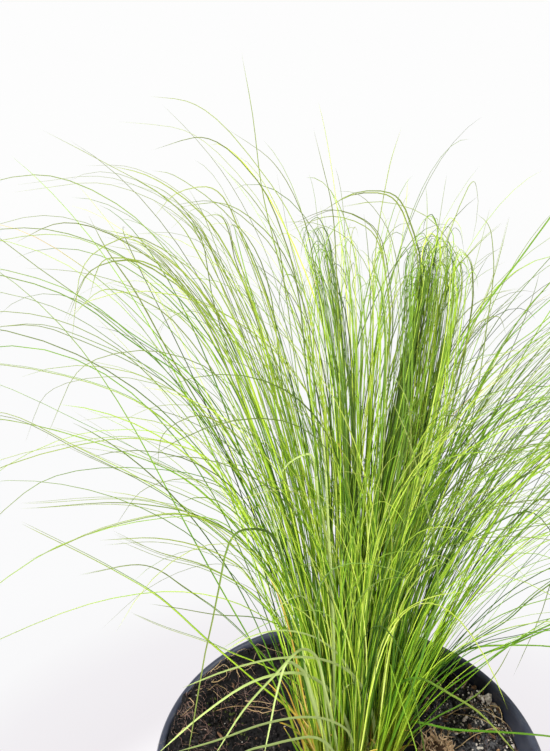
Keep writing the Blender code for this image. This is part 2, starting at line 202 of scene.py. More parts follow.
def new_mesh(name, points, face_sets):
    """Put whole arrays into a mesh: points (n, 3) and index arrays (m, corners)."""
    mesh = bpy.data.meshes.new(name)
    mesh.vertices.add(len(points))
    mesh.vertices.foreach_set("co", np.asarray(points, np.float32).ravel())
    corners = np.concatenate([faces.ravel() for faces in face_sets]).astype(np.int32)
    sizes = np.concatenate([np.full(len(faces), faces.shape[1]) for faces in face_sets])
    mesh.loops.add(len(corners))
    mesh.loops.foreach_set("vertex_index", corners)
    mesh.polygons.add(len(sizes))
    starts = np.concatenate([[0], np.cumsum(sizes)[:-1]]).astype(np.int32)
    mesh.polygons.foreach_set("loop_start", starts)
    mesh.update(calc_edges=True)
    return mesh


floor_points = ring_points(FLOOR_RINGS, np.zeros(len(FLOOR_RINGS)), FLOOR_SIDES).reshape(-1, 3)
floor_points = np.vstack([floor_points, np.zeros(3)])
floor_faces = [ring_faces(len(FLOOR_RINGS), FLOOR_SIDES)[:, ::-1],
               fan_faces(len(floor_points) - 1, 0, FLOOR_SIDES)]
floor = bpy.data.objects.new("floor", new_mesh("floor", floor_points, floor_faces))
scene.collection.objects.link(floor)

world = bpy.data.worlds.new("white_sky")
world.use_nodes = True
sky = world.node_tree.nodes["Background"]
sky.inputs["Color"].default_value = (1.0, 1.0, 1.0, 1.0)
seen = world.node_tree.nodes.new("ShaderNodeLightPath")
strength = world.node_tree.nodes.new("ShaderNodeMapRange")
strength.inputs["To Min"].default_value = SKY_LIGHT
strength.inputs["To Max"].default_value = SKY_SEEN
world.node_tree.links.new(seen.outputs["Is Camera Ray"], strength.inputs["Value"])
world.node_tree.links.new(strength.outputs["Result"], sky.inputs["Strength"])
scene.world = world
scene.view_settings.view_transform = "Standard"

for lamp_name, (place, size, power) in LAMPS.items():
    lamp_data = bpy.data.lights.new(lamp_name, "AREA")
    lamp_data.shape = "DISK"
    lamp_data.size = size
    lamp_data.energy = power
    lamp = bpy.data.objects.new(lamp_name, lamp_data)
    lamp.location = place
    aim = LAMP_AIM - np.array(place)
    flat = math.hypot(aim[0], aim[1])
    lamp.rotation_euler = (math.pi / 2 + math.atan2(aim[2], flat), 0.0,
                           math.atan2(aim[1], aim[0]) - math.pi / 2)
    scene.collection.objects.link(lamp)
print("lamps:", list(LAMPS))


# %% [markdown]
# ## Short ways to write materials
#
# Every finish here is a small tree of shader nodes. Written out in full, such a tree is mostly
# bookkeeping, so a few helpers add a node, set its sockets and link it in one line. Shaders
# themselves stay in each material, because a group may hold only colours, masks and heights.

# %% Node helpers
PATTERN_LOW = 0.3
PATTERN_HIGH = 0.7
VALUE = "NodeSocketFloat"
COLOUR = "NodeSocketColor"
VECTOR = "NodeSocketVector"


def add_node(tree, kind, settings=None, sockets=None):
    """Add a node; settings are its own properties, sockets its input values or links."""
    node = tree.nodes.new(kind)
    for key, value in (settings or {}).items():
        setattr(node, key, value)
    for key, value in (sockets or {}).items():
        if isinstance(value, bpy.types.NodeSocket):
            tree.links.new(value, node.inputs[key])
        else:
            node.inputs[key].default_value = value
    return node


def maths(tree, operation, first, second):
    """The result of a Math node."""
    node = add_node(tree, "ShaderNodeMath", {"operation": operation}, {0: first, 1: second})
    return node.outputs[0]


def plus(tree, first, second):
    """The sum of two values."""
    return maths(tree, "ADD", first, second)


def minus(tree, first, second):
    """The difference of two values."""
    return maths(tree, "SUBTRACT", first, second)


def times(tree, first, second):
    """The product of two values."""
    return maths(tree, "MULTIPLY", first, second)


def blended(tree, first, first_part, second, second_part):
    """Two values, each times its own part, added up."""
    return plus(tree, times(tree, first, first_part), times(tree, second, second_part))


def stirred(tree, value, pattern, amount):
    """A value moved up and down by a pattern that lies around one half."""
    return plus(tree, value, times(tree, minus(tree, pattern, 0.5), amount))


def mixed(tree, factor, first, second):
    """A colour between two colours."""
    settings = {"data_type": "RGBA", "blend_type": "MIX"}
    node = add_node(tree, "ShaderNodeMix", settings, {0: factor, 6: first, 7: second})
    return node.outputs[2]


def ranged(tree, value, low, high, to_low=0.0, to_high=1.0):
    """A value moved from one range to another, held inside it, with eased ends."""
    settings = {"interpolation_type": "SMOOTHSTEP", "clamp": True}
    sockets = {"Value": value, "From Min": low, "From Max": high,
               "To Min": to_low, "To Max": to_high}
    return add_node(tree, "ShaderNodeMapRange", settings, sockets).outputs["Result"]


def ramp(tree, factor, stops):
    """A colour read from a ramp of (position, colour) stops."""
    node = add_node(tree, "ShaderNodeValToRGB", None, {0: factor})
    elements = node.color_ramp.elements
    while len(elements) < len(stops):
        elements.new(1.0)
    for element, (position, colour) in zip(elements, stops):
        element.position = position
        element.color = (*colour, 1.0)
    return node.outputs["Color"]


def noise(tree, vector, scale, detail, roughness=0.55, distortion=0.0):
    """A fractal noise value around one half."""
    sockets = {"Vector": vector, "Scale": scale, "Detail": detail,
               "Roughness": roughness, "Distortion": distortion}
    return add_node(tree, "ShaderNodeTexNoise", None, sockets).outputs["Fac"]


def stretched(tree, vector, scale):
    """A vector scaled by its own amount along each axis."""
    node = add_node(tree, "ShaderNodeMapping", {"vector_type": "POINT"},
                    {"Vector": vector, "Scale": scale})
    return node.outputs["Vector"]


def bumped(tree, height, strength, distance):
    """A normal bent by a height; distance is the real depth in metres."""
    sockets = {"Height": height, "Strength": strength, "Distance": distance}
    return add_node(tree, "ShaderNodeBump", None, sockets).outputs["Normal"]


def new_material(name, roughness, specular):
    """A material with its own Principled shader; returns material, tree and shader."""
    material = bpy.data.materials.new(name)
    material.use_nodes = True
    shader = material.node_tree.nodes["Principled BSDF"]
    shader.inputs["Roughness"].default_value = roughness
    shader.inputs["Specular IOR Level"].default_value = specular
    return material, material.node_tree, shader


def link_finish(tree, shader, colour, roughness, normal):
    """Link what changes over the surface to the shader."""
    for socket, value in (("Base Color", colour), ("Roughness", roughness), ("Normal", normal)):
        tree.links.new(value, shader.inputs[socket])


def finish_by(tree, shader, colour, pattern, rough, strength, depth):
    """A colour, with a range of roughness and a relief that both follow one pattern."""
    link_finish(tree, shader, colour, ranged(tree, pattern, PATTERN_LOW, PATTERN_HIGH, *rough),
                bumped(tree, pattern, strength, depth))


def object_place(tree):
    """The surface's place in metres."""
    return add_node(tree, "ShaderNodeTexCoord").outputs["Object"]


def carried(tree, attribute):
    """A vector that the mesh carries at each of its points."""
    return add_node(tree, "ShaderNodeAttribute", {"attribute_name": attribute}).outputs["Vector"]


def new_group(name, inputs, outputs):
    """An empty node group with named sockets; returns its tree, entry and exit nodes."""
    tree = bpy.data.node_groups.new(name, "ShaderNodeTree")
    for label, (kind, value) in inputs.items():
        socket = tree.interface.new_socket(name=label, in_out="INPUT", socket_type=kind)
        socket.default_value = value
    for label, kind in outputs.items():
        tree.interface.new_socket(name=label, in_out="OUTPUT", socket_type=kind)
    return tree, tree.nodes.new("NodeGroupInput"), tree.nodes.new("NodeGroupOutput")


def placed(tree, group, sockets):
    """A group placed in a material with its own values."""
    return add_node(tree, "ShaderNodeGroup", {"node_tree": group}, sockets)


print("node helpers ready")

# %% [markdown]
# ## Effects that several finishes share
#
# Dust, specks and stains lie on the pot's plastic, on the soil and on the pale grains alike. Long
# fibres show in the crown, in the old stump, in the roots and in dead leaves. Each effect is
# one group, built once and placed with its own scale. The fibre group reads a vector that the
# mesh carries along each strand, so the streaks follow the strand wherever it bends.

# %% Speckle group
speckle, speckle_in, speckle_out = new_group(
    "speckle",
    {"Place": (VECTOR, (0.0, 0.0, 0.0)), "Scale": (VALUE, 400.0), "Cover": (VALUE, 0.3)},
    {"Mask": VALUE})
place, scale, cover = [speckle_in.outputs[label] for label in ("Place", "Scale", "Cover")]
patches = noise(speckle, place, times(speckle, scale, 0.13), 4.0, 0.6)
grains = noise(speckle, place, scale, 2.0, 0.7)
together = blended(speckle, patches, 0.5, grains, 0.5)
edge = minus(speckle, 0.66, times(speckle, cover, 0.3))
mask = ranged(speckle, together, edge, plus(speckle, edge, 0.06))
speckle.links.new(mask, speckle_out.inputs["Mask"])

# %% Fibre group
STREAK_STRETCH = (2.2, 45.0, 7.0)
BLOT_STRETCH = (0.8, 220.0, 3.0)
fibre, fibre_in, fibre_out = new_group(
    "fibre",
    {"Strand": (VECTOR, (0.0, 0.0, 0.0)), "Fineness": (VALUE, 1.0),
     "Dark": (COLOUR, (0.05, 0.03, 0.02, 1.0)), "Pale": (COLOUR, (0.4, 0.3, 0.15, 1.0))},
    {"Colour": COLOUR, "Height": VALUE})
strand, fineness = fibre_in.outputs["Strand"], fibre_in.outputs["Fineness"]
long_streaks = noise(fibre, stretched(fibre, strand, STREAK_STRETCH), fineness, 3.0, 0.6)
short_blots = noise(fibre, stretched(fibre, strand, BLOT_STRETCH), fineness, 2.0, 0.5)
both = blended(fibre, long_streaks, 0.7, short_blots, 0.3)
streaks = mixed(fibre, ranged(fibre, both, 0.30, 0.68), fibre_in.outputs["Dark"],
                fibre_in.outputs["Pale"])
fibre.links.new(streaks, fibre_out.inputs["Colour"])
fibre.links.new(both, fibre_out.inputs["Height"])
print("groups:", [group.name for group in bpy.data.node_groups])

# %% [markdown]
# ## The leaf's finish
#
# A living leaf of this grass is a folded thread. It is yellow-green and pale where it leaves the
# sheath, clear lime along most of its length and dull olive at its drying tip. One leaf is
# deeper green than the next, and a few have died to orange and straw. Fine ribs run from end to
# end. The mesh carries two vectors for this: "blade" is (side to side, metres along, the leaf's
# own number), and "growth" is (share of the length, tone, dryness). A dryness below -0.85 also
# turns the green pale: a painted sheen, which the fresh leaves near the viewer get.

# %% Leaf material
LEAF_TONES = (
    (0.00, (0.022, 0.066, 0.005)),
    (0.30, (0.098, 0.232, 0.012)),
    (0.60, (0.285, 0.490, 0.022)),
    (0.84, (0.530, 0.670, 0.062)),
    (1.00, (0.740, 0.830, 0.240)),
)
SHEATH_COLOUR = (0.560, 0.580, 0.060, 1.0)
TIP_COLOUR = (0.175, 0.205, 0.045, 1.0)
PAINTED_SHEEN_COLOUR = (0.430, 0.500, 0.190, 1.0)
DEAD_STOPS = ((0.25, (0.280, 0.150, 0.020)), (0.50, (0.600, 0.400, 0.060)),
              (0.75, (0.780, 0.640, 0.280)))
RIB_DEPTH = 0.00006
RIB_STRETCH = (2.6, 18.0, 5.0)
MOTTLE_STRETCH = (0.3, 30.0, 9.0)

leaf_material, tree, shader = new_material("living_leaf", 0.48, 0.14)
blade = carried(tree, "blade")
growth = add_node(tree, "ShaderNodeSeparateXYZ", None, {0: carried(tree, "growth")})
share, tone, dryness_and_sheen = growth.outputs
ribs = noise(tree, stretched(tree, blade, RIB_STRETCH), 1.0, 2.0, 0.5)
mottle = noise(tree, stretched(tree, blade, MOTTLE_STRETCH), 1.0, 3.0, 0.6)
shifted = stirred(tree, stirred(tree, tone, mottle, 0.55), ribs, 0.35)
green = ramp(tree, shifted, LEAF_TONES)
green = mixed(tree, ranged(tree, share, 0.02, 0.26, 0.62, 0.0), green, SHEATH_COLOUR)
tip_share = times(tree, ranged(tree, share, 0.50, 0.90, 0.0, 0.80),
                  ranged(tree, dryness_and_sheen, -1.0, -0.5))
green = mixed(tree, tip_share, green, TIP_COLOUR)
# Painted sheen: a dryness below -0.85 mixes in a pale tone, as on the fresh leaves near the viewer.
green = mixed(tree, ranged(tree, dryness_and_sheen, -1.0, -0.85, 0.80, 0.0), green, PAINTED_SHEEN_COLOUR)
dead_edge = minus(tree, 1.0, dryness_and_sheen)
dead_reach = stirred(tree, share, mottle, 0.5)
dead_share = ranged(tree, minus(tree, dead_reach, dead_edge), 0.0, 0.10)
leaf_colour = mixed(tree, dead_share, green, ramp(tree, mottle, DEAD_STOPS))
leaf_roughness = ranged(tree, mottle, PATTERN_LOW, PATTERN_HIGH, 0.38, 0.56)
link_finish(tree, shader, leaf_colour, leaf_roughness, bumped(tree, ribs, 0.5, RIB_DEPTH))
print("leaf material nodes:", len(tree.nodes))

# %% [markdown]
# ## The pot's finish
#
# The pot is thin black polypropylene: satin, faintly blue, with the haze of fine scuffs that
# pots get in a nursery, and dried soil dust that clings above the soil line and on the lip.
# Faces that look upwards, the lip's top most of all, get a paler, bluer tone: a painted sheen.

# %% Pot material
POT_BLACK = (0.028, 0.032, 0.051, 1.0)
POT_HAZE_AND_SHEEN = (0.060, 0.067, 0.092, 1.0)
POT_DUST = (0.150, 0.125, 0.100, 1.0)
SCUFF_DEPTH = 0.00006
SCUFF_STRETCH = (90.0, 90.0, 900.0)
HAZE_STRETCH = (1.0, 1.0, 0.35)
HAZE_SCALE = 38.0
DUST_SCALE = 900.0
GRAIN_SCALE = 2600.0

pot_material, tree, shader = new_material("pot_plastic", 0.34, 0.5)
place = object_place(tree)
haze = noise(tree, stretched(tree, place, HAZE_STRETCH), HAZE_SCALE, 5.0, 0.65)
scuffs = noise(tree, stretched(tree, place, SCUFF_STRETCH), 1.0, 2.0, 0.6, 0.4)
dust = placed(tree, speckle, {"Place": place, "Scale": DUST_SCALE, "Cover": 0.34}).outputs["Mask"]
normal = add_node(tree, "ShaderNodeNewGeometry").outputs["Normal"]
upward = add_node(tree, "ShaderNodeSeparateXYZ", None, {0: normal}).outputs["Z"]
# Scuff haze by noise, plus a painted sheen: faces that look upwards turn paler and bluer.
haze_and_painted_top_sheen = maths(tree, "MAXIMUM", ranged(tree, haze, 0.35, 0.75),
                ranged(tree, upward, 0.60, 1.00, 0.0, 0.4))
plastic = mixed(tree, haze_and_painted_top_sheen, POT_BLACK, POT_HAZE_AND_SHEEN)
plastic = mixed(tree, times(tree, dust, 0.55), plastic, POT_DUST)
shine = plus(tree, ranged(tree, haze, 0.3, 0.75, 0.27, 0.44), times(tree, dust, 0.35))
relief = blended(tree, scuffs, 0.35, noise(tree, place, GRAIN_SCALE, 2.0), 0.65)
link_finish(tree, shader, plastic, shine, bumped(tree, relief, 0.35, SCUFF_DEPTH))
print("pot material nodes:", len(tree.nodes))

# %% [markdown]
# ## The soil's finishes
#
# Moist peat is nearly black, and dark brown where it has dried. Its colour follows the noise of
# its bumps: darkest in the hollows, partly as painted shade, and palest in sparse specks on the
# tops, which are painted highlights. Scattered through it are fibres, chips of bark, pale mineral
# grains and a few specks of moss. Each of these gets a material of its own, and they share the
# speckle and fibre groups.

# %% Soil, chip, grain and moss materials
PEAT_SHADE_AND_GLINT_STOPS = ((0.0, (0.0009, 0.0008, 0.0010)), (0.52, (0.0040, 0.0034, 0.0036)),
              (0.76, (0.0170, 0.0140, 0.0130)), (1.0, (0.095, 0.082, 0.074)))
GRIT_CENTRE = (0.066, 0.030, 0.130)
GRIT_COLOUR = (0.110, 0.110, 0.115, 1.0)
FLECK_COLOUR = (0.120, 0.085, 0.062, 1.0)
STAIN_COLOUR = (0.130, 0.080, 0.045, 1.0)
BARK_STOPS = ((0.30, (0.045, 0.022, 0.012)), (0.55, (0.170, 0.090, 0.045)),
              (0.75, (0.380, 0.250, 0.140)))
GRAIN_STOPS = ((0.30, (0.360, 0.310, 0.250)), (0.62, (0.780, 0.720, 0.620)))
MOSS_STOPS = ((0.32, (0.012, 0.018, 0.005)), (0.60, (0.060, 0.075, 0.015)),
              (0.80, (0.170, 0.180, 0.045)))
CRUMB_SCALE = 420.0
CRUMB_DEPTH = 0.0008
BROAD_SCALE = 60.0
FLECK_SCALE = 1500.0
GRIT_FROM = 0.012
GRIT_TO = 0.034
FIBRE_DEPTH = 0.00012
BARK_STRETCH = (260.0, 900.0, 500.0)
BARK_DEPTH = 0.0003
PORE_SCALE = 2400.0
PORE_DEPTH = 0.0003
STAIN_SCALE = 700.0
MOSS_SCALE = 2200.0
MOSS_DEPTH = 0.0005
FLOOR_SCALE = 35.0
FIBRE_FINISHES = {
    "crown_fibre": ((0.045, 0.022, 0.010), (0.330, 0.210, 0.090), 1.0, 0.85),
    "tan_root": ((0.170, 0.085, 0.036), (0.560, 0.370, 0.190), 1.3, 0.70),
    "stump_fibre": ((0.360, 0.190, 0.080), (0.930, 0.720, 0.460), 0.8, 0.75),
    "stump_core": ((0.016, 0.009, 0.006), (0.120, 0.062, 0.030), 0.8, 0.75),
    "root_hair": ((0.110, 0.050, 0.040), (0.500, 0.310, 0.240), 1.6, 0.80),
    "dry_leaf": ((0.330, 0.190, 0.070), (0.740, 0.560, 0.300), 0.9, 0.60),
}

soil_material, tree, shader = new_material("peat", 0.95, 0.25)
place = object_place(tree)
crumb_noise = noise(tree, place, CRUMB_SCALE, 4.0, 0.7)
broad_noise = noise(tree, place, BROAD_SCALE, 3.0, 0.6)
peat_and_painted_light_share = blended(tree, crumb_noise, 0.65, broad_noise, 0.45)
# Darkest in the bump's hollows, partly painted shade; the palest stop gives painted highlights on
# the tops.
peat = ramp(tree, ranged(tree, peat_and_painted_light_share, 0.38, 0.78), PEAT_SHADE_AND_GLINT_STOPS)
flecks = placed(tree, speckle, {"Place": place, "Scale": FLECK_SCALE, "Cover": 0.22})
peat = mixed(tree, times(tree, flecks.outputs["Mask"], 0.55), peat, FLECK_COLOUR)
from_grit = add_node(tree, "ShaderNodeVectorMath", {"operation": "DISTANCE"},
                     {0: place, 1: GRIT_CENTRE}).outputs["Value"]
gritty = times(tree, ranged(tree, from_grit, GRIT_FROM, GRIT_TO, 0.85, 0.0),
               ranged(tree, crumb_noise, 0.42, 0.62))
peat = mixed(tree, gritty, peat, GRIT_COLOUR)
finish_by(tree, shader, peat, crumb_noise, (0.80, 1.0), 0.8, CRUMB_DEPTH)


def fibre_material(name, dark, pale, fineness, roughness):
    """A strand's finish: streaks from dark to pale that follow the strand."""
    material, tree, shader = new_material(name, roughness, 0.3)
    strand = placed(tree, fibre, {"Strand": carried(tree, "blade"), "Fineness": fineness,
                                  "Dark": (*dark, 1.0), "Pale": (*pale, 1.0)})
    finish_by(tree, shader, strand.outputs["Colour"], strand.outputs["Height"],
              (roughness - 0.12, min(roughness + 0.10, 1.0)), 0.7, FIBRE_DEPTH)
    return material


fibres = {name: fibre_material(name, *values) for name, values in FIBRE_FINISHES.items()}

chip_material, tree, shader = new_material("bark_chip", 0.80, 0.3)
place = object_place(tree)
rings = noise(tree, stretched(tree, place, BARK_STRETCH), 1.0, 3.0, 0.6)
finish_by(tree, shader, ramp(tree, rings, BARK_STOPS), rings, (0.70, 0.95), 0.7, BARK_DEPTH)

grain_material, tree, shader = new_material("pale_grain", 0.75, 0.4)
place = object_place(tree)
pores = noise(tree, place, PORE_SCALE, 3.0, 0.6)
stain = placed(tree, speckle, {"Place": place, "Scale": STAIN_SCALE, "Cover": 0.55})
stained = times(tree, stain.outputs["Mask"], 0.6)
pale = mixed(tree, stained, ramp(tree, pores, GRAIN_STOPS), STAIN_COLOUR)
finish_by(tree, shader, pale, pores, (0.65, 0.9), 0.6, PORE_DEPTH)

moss_material, tree, shader = new_material("moss", 0.9, 0.2)
place = object_place(tree)
tufting = noise(tree, place, MOSS_SCALE, 3.0, 0.7)
finish_by(tree, shader, ramp(tree, tufting, MOSS_STOPS), tufting, (0.8, 1.0), 0.9, MOSS_DEPTH)

floor_material, tree, shader = new_material("pale_floor", 0.9, 0.1)
place = object_place(tree)
distance = add_node(tree, "ShaderNodeVectorMath", {"operation": "LENGTH"}, {0: place})
# Painted light: to camera rays the floor beyond GLOW_FROM glows in place of a lit white floor.
painted_light_share = times(tree, ranged(tree, distance.outputs["Value"], GLOW_FROM, GLOW_TO),
                   add_node(tree, "ShaderNodeLightPath").outputs["Is Camera Ray"])
grit = noise(tree, place, FLOOR_SCALE, 4.0, 0.5)
floor_shade = mixed(tree, ranged(tree, grit, PATTERN_LOW, PATTERN_HIGH), FLOOR_WHITE, FLOOR_GREY)
tree.links.new(floor_shade, shader.inputs["Base Color"])
painted_floor_light = ramp(tree, maths(tree, "DIVIDE", distance.outputs["Value"], GLOW_EVEN), PAINTED_FLOOR_LIGHT_STOPS)
glow = add_node(tree, "ShaderNodeEmission", None, {"Color": painted_floor_light, "Strength": 1.0})
either = add_node(tree, "ShaderNodeMixShader", None, {0: painted_light_share})
tree.links.new(shader.outputs[0], either.inputs[1])
tree.links.new(glow.outputs[0], either.inputs[2])
tree.links.new(either.outputs[0], tree.nodes["Material Output"].inputs["Surface"])
floor.data.materials.append(floor_material)
print("materials:", [material.name for material in bpy.data.materials if material.users])


# %% [markdown]
# ## Putting a piece in the scene
#
# Every finished piece ends the same way: its arrays become a mesh, it gets its material, it
# rides on the frame's one body, and it may stand for plain solids of the frame, which are then
# hidden.

# %% Finish a piece
BODY = "root"
SHARP_FOLD = math.radians(40.0)
piece_faces = {}


def finish_piece(name, mesh, material, nodes=(), carries=None, sharp=SHARP_FOLD):
    """Make an object of a mesh, with its material, its body and what it replaces."""
    for label, values in (carries or {}).items():
        attribute = mesh.attributes.new(label, "FLOAT_VECTOR", "POINT")
        attribute.data.foreach_set("vector", np.asarray(values, np.float32).ravel())
    mesh.materials.clear()
    mesh.materials.append(material)
    mesh.shade_smooth()
    if sharp is not None:
        mesh.set_sharp_from_angle(angle=sharp)
    piece = bpy.data.objects.new(name, mesh)
    scene.collection.objects.link(piece)
    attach(piece, BODY)
    if nodes:
        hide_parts(*nodes)
    mesh.calc_loop_triangles()
    piece_faces[name] = len(mesh.loop_triangles)
    return piece


def signed_volume(mesh):
    """Volume inside a mesh in cubic millimetres; a negative one means it is inside out."""
    mesh.calc_loop_triangles()
    points = np.empty(len(mesh.vertices) * 3)
    mesh.vertices.foreach_get("co", points)
    corners = np.empty(len(mesh.loop_triangles) * 3, np.int32)
    mesh.loop_triangles.foreach_get("vertices", corners)
    a, b, c = np.moveaxis(points.reshape(-1, 3)[corners.reshape(-1, 3)], 1, 0)
    return float(np.einsum("ij,ij->i", a, np.cross(b, c)).sum() / 6 * 1e9)


# %% [markdown]
# ## The pot
#
# A nursery pot is one thin wall: a flat base with drain holes, a long taper, a small step, a
# collar and a rolled lip that stiffens the mouth. A lathe makes such a shape, so its profile is
# carried round the axis. The corners are rounded with small arcs first, because the light on a
# rolled lip is what makes black plastic readable. The drain holes are cut at the end.

# %% Pot dimensions
POT_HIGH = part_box("pot")[1]
RIM_RADIUS = POT_HIGH.x
POT_HEIGHT = POT_HIGH.z
WALL = 0.0014
LIP_WIDTH = 0.0045
LIP_HEIGHT = 0.0100
LIP_CROWN = 0.0030
COLLAR_BOTTOM = 0.1220
STEP_DROP = 0.0025
STEP_WIDTH = 0.0020
BASE_RADIUS = 0.0690
BASE_CHAMFER = 0.0020
POT_FLOOR = 0.0030
DRAIN_HOLES = 6
DRAIN_RING = 0.050
DRAIN_RADIUS = 0.0050
DRILL_SIDES = 24
POT_SIDES = 192
FLOOR_CURVE = 0.003
STEP_CURVE = 0.001
LIP_CURVE = 0.0009
NECK_CURVE = 0.0006
COLLAR_CURVE = 0.0012
LIP_STEPS = 15
CURVE_LIMIT = 0.45
CURVE_POINTS = 5
print("rim radius and height in mm:", round(1000 * RIM_RADIUS, 1), round(1000 * POT_HEIGHT, 1))


def outer_radius(height):
    """The outer wall: a straight taper from the base's edge up to the step."""
    top = RIM_RADIUS - LIP_WIDTH + WALL - STEP_WIDTH
    share = (height - BASE_CHAMFER) / (COLLAR_BOTTOM - STEP_DROP - BASE_CHAMFER)
    return BASE_RADIUS + (top - BASE_RADIUS) * share


def inner_radius(height):
    """The inner wall: the taper less the wall, a short step outwards, then the collar."""
    step_top = COLLAR_BOTTOM + WALL
    step_bottom = step_top - STEP_DROP
    below = outer_radius(step_bottom) - WALL
    collar = RIM_RADIUS - LIP_WIDTH
    share = np.clip((height - step_bottom) / STEP_DROP, 0.0, 1.0)
    return np.where(height <= step_bottom, outer_radius(height) - WALL,
                    below + (collar - below) * share)


# %% Turn the pot
def rounded(corners):
    """A line of (radius, height, rounding) corners with an arc in place of each rounded one.

    The arc is the quadratic curve that leaves one side and meets the next at the rounding's
    distance from the corner.
    """
    points = [corners[0][:2]]
    for before, (x, z, rounding), after in zip(corners, corners[1:], corners[2:]):
        corner = np.array([x, z])
        if rounding == 0.0:
            points.append(corner)
            continue
        back = np.array(before[:2]) - corner
        ahead = np.array(after[:2]) - corner
        start = corner + back * min(rounding / np.linalg.norm(back), CURVE_LIMIT)
        end = corner + ahead * min(rounding / np.linalg.norm(ahead), CURVE_LIMIT)
        t = np.linspace(0.0, 1.0, CURVE_POINTS)[:, None]
        points += list((1 - t) ** 2 * start + 2 * t * (1 - t) * corner + t ** 2 * end)
    points.append(corners[-1][:2])
    return np.array([tuple(point) for point in points])


def pot_profile():
    """From the middle of the floor out, up the inside, over the lip and down the outside."""
    step_top = COLLAR_BOTTOM + WALL
    step_bottom = step_top - STEP_DROP
    shoulder = POT_HEIGHT - LIP_CROWN
    lip_bottom = POT_HEIGHT - LIP_HEIGHT
    below_collar = COLLAR_BOTTOM - STEP_DROP
    collar = RIM_RADIUS - LIP_WIDTH
    inside = [(0.0, POT_FLOOR, 0.0), (float(inner_radius(POT_FLOOR)), POT_FLOOR, FLOOR_CURVE),
              (float(inner_radius(step_bottom)), step_bottom, STEP_CURVE),
              (collar, step_top, STEP_CURVE), (collar, shoulder, 0.0)]
    middle = RIM_RADIUS - LIP_WIDTH / 2
    turns = np.linspace(math.pi, 0.0, LIP_STEPS)[1:-1]
    lip = [(middle + LIP_WIDTH / 2 * math.cos(turn), shoulder + LIP_CROWN * math.sin(turn), 0.0)
           for turn in turns]
    outside = [(RIM_RADIUS, shoulder, 0.0), (RIM_RADIUS, lip_bottom, LIP_CURVE),
               (collar + WALL, lip_bottom, NECK_CURVE),
               (collar + WALL, COLLAR_BOTTOM, COLLAR_CURVE),
               (outer_radius(below_collar), below_collar, COLLAR_CURVE),
               (BASE_RADIUS, BASE_CHAMFER, COLLAR_CURVE),
               (BASE_RADIUS - BASE_CHAMFER, 0.0, LIP_CURVE), (0.0, 0.0, 0.0)]
    return rounded(inside + lip + outside)


def turned_mesh(name, profile, sides):
    """A closed turned mesh: the profile runs from the axis outwards, round, and back to it."""
    rows = profile[1:-1]
    points = ring_points(rows[:, 0], rows[:, 1], sides).reshape(-1, 3)
    poles = [[0.0, 0.0, profile[0, 1]], [0.0, 0.0, profile[-1, 1]]]
    points = np.vstack([points, poles])
    return new_mesh(name, points, closed_faces(len(rows), sides))


def cut_holes(mesh, radius, centres, depth):
    """The mesh with upright round holes through it at the given centres in plan."""
    body = bpy.data.objects.new("body_to_cut", mesh)
    scene.collection.objects.link(body)
    drill_profile = np.array([[0.0, -depth], [radius, -depth], [radius, depth], [0.0, depth]])
    drills = []
    for number, (x, y) in enumerate(centres):
        drill_mesh = turned_mesh("drill", drill_profile[::-1], DRILL_SIDES)
        drill_mesh.transform(Matrix.Translation((x, y, 0.0)))
        drill = bpy.data.objects.new("drill_%d" % number, drill_mesh)
        scene.collection.objects.link(drill)
        cut = body.modifiers.new("hole_%d" % number, "BOOLEAN")
        cut.operation = "DIFFERENCE"
        cut.solver = "EXACT"
        cut.object = drill
        drills.append(drill)
    bpy.context.view_layer.update()
    cut_body = body.evaluated_get(bpy.context.evaluated_depsgraph_get())
    result = bpy.data.meshes.new_from_object(cut_body)
    for thing in [body, *drills]:
        bpy.data.objects.remove(thing, do_unlink=True)
    return result


drain_turns = np.arange(DRAIN_HOLES) * math.tau / DRAIN_HOLES
drain_centres = around(DRAIN_RING, drain_turns, 0.0)[:, :2]
pot_mesh = turned_mesh("pot_shell", pot_profile(), POT_SIDES)
print("pot volume before the holes in cubic mm:", round(signed_volume(pot_mesh)))
pot_mesh = cut_holes(pot_mesh, DRAIN_RADIUS, drain_centres, 4 * POT_FLOOR)
print("pot volume after the holes in cubic mm:", round(signed_volume(pot_mesh)))
finish_piece("pot_shell", pot_mesh, pot_material, ["pot"])


# %% [markdown]
# ## The soil
#
# Potting soil is a heap of crumbs of every size. Modelling all of them would be wasteful, and
# bump alone looks flat from close by. So the bed is one turned surface whose top is pushed up
# into rounded lumps of three sizes, and nine thousand loose crumbs lie on it. The lumps are a
# cell pattern: each point looks for the nearest of many scattered centres and stands as high as
# a small dome over it. The level falls to the right, and two heaps lean against the wall, at
# the left and at the back right, as in the real pot.

# %% The shape of the soil
GAP = 0.0003
SOIL_LEVEL = 0.1325
SOIL_FALL = 0.075
HEAPS = ((150.0, 0.0130, 95.0), (30.0, 0.0155, 36.0))
HEAP_FROM = 0.060
HEAP_WIDTH = 0.028
CROWN_LOW, CROWN_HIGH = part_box("crown")
CROWN_RADIUS = CROWN_HIGH.x
CROWN_TOP = CROWN_HIGH.z
LUMPS = ((0.0085, 0.0020, 1.0), (0.0038, 0.0013, 5.0), (0.0018, 0.0007, 9.0))
LUMP_SINK = 0.0021
DOME_REACH = 0.8
HASH = (127.1, 311.7, 74.7, 43758.5453)
SECOND_SEED = 3.0
WIDE_HUMPS = (0.0012, 95, 1.3, 80, 0.4)
NARROW_HUMPS = (0.0008, 170, 140)
MOUND_HEIGHT = 0.0030
MOUND_REACH = 0.010
WALL_DIP = 0.0012
WALL_DIP_REACH = 0.003
BED_RINGS = 118
BED_SIDES = 400
BED_START = 0.0015
BED_WAIST = 0.060
CROWN_OVERLAP = 0.002
CROWN_POCKET = 0.006
SOIL_EDGE = RIM_RADIUS - LIP_WIDTH - GAP


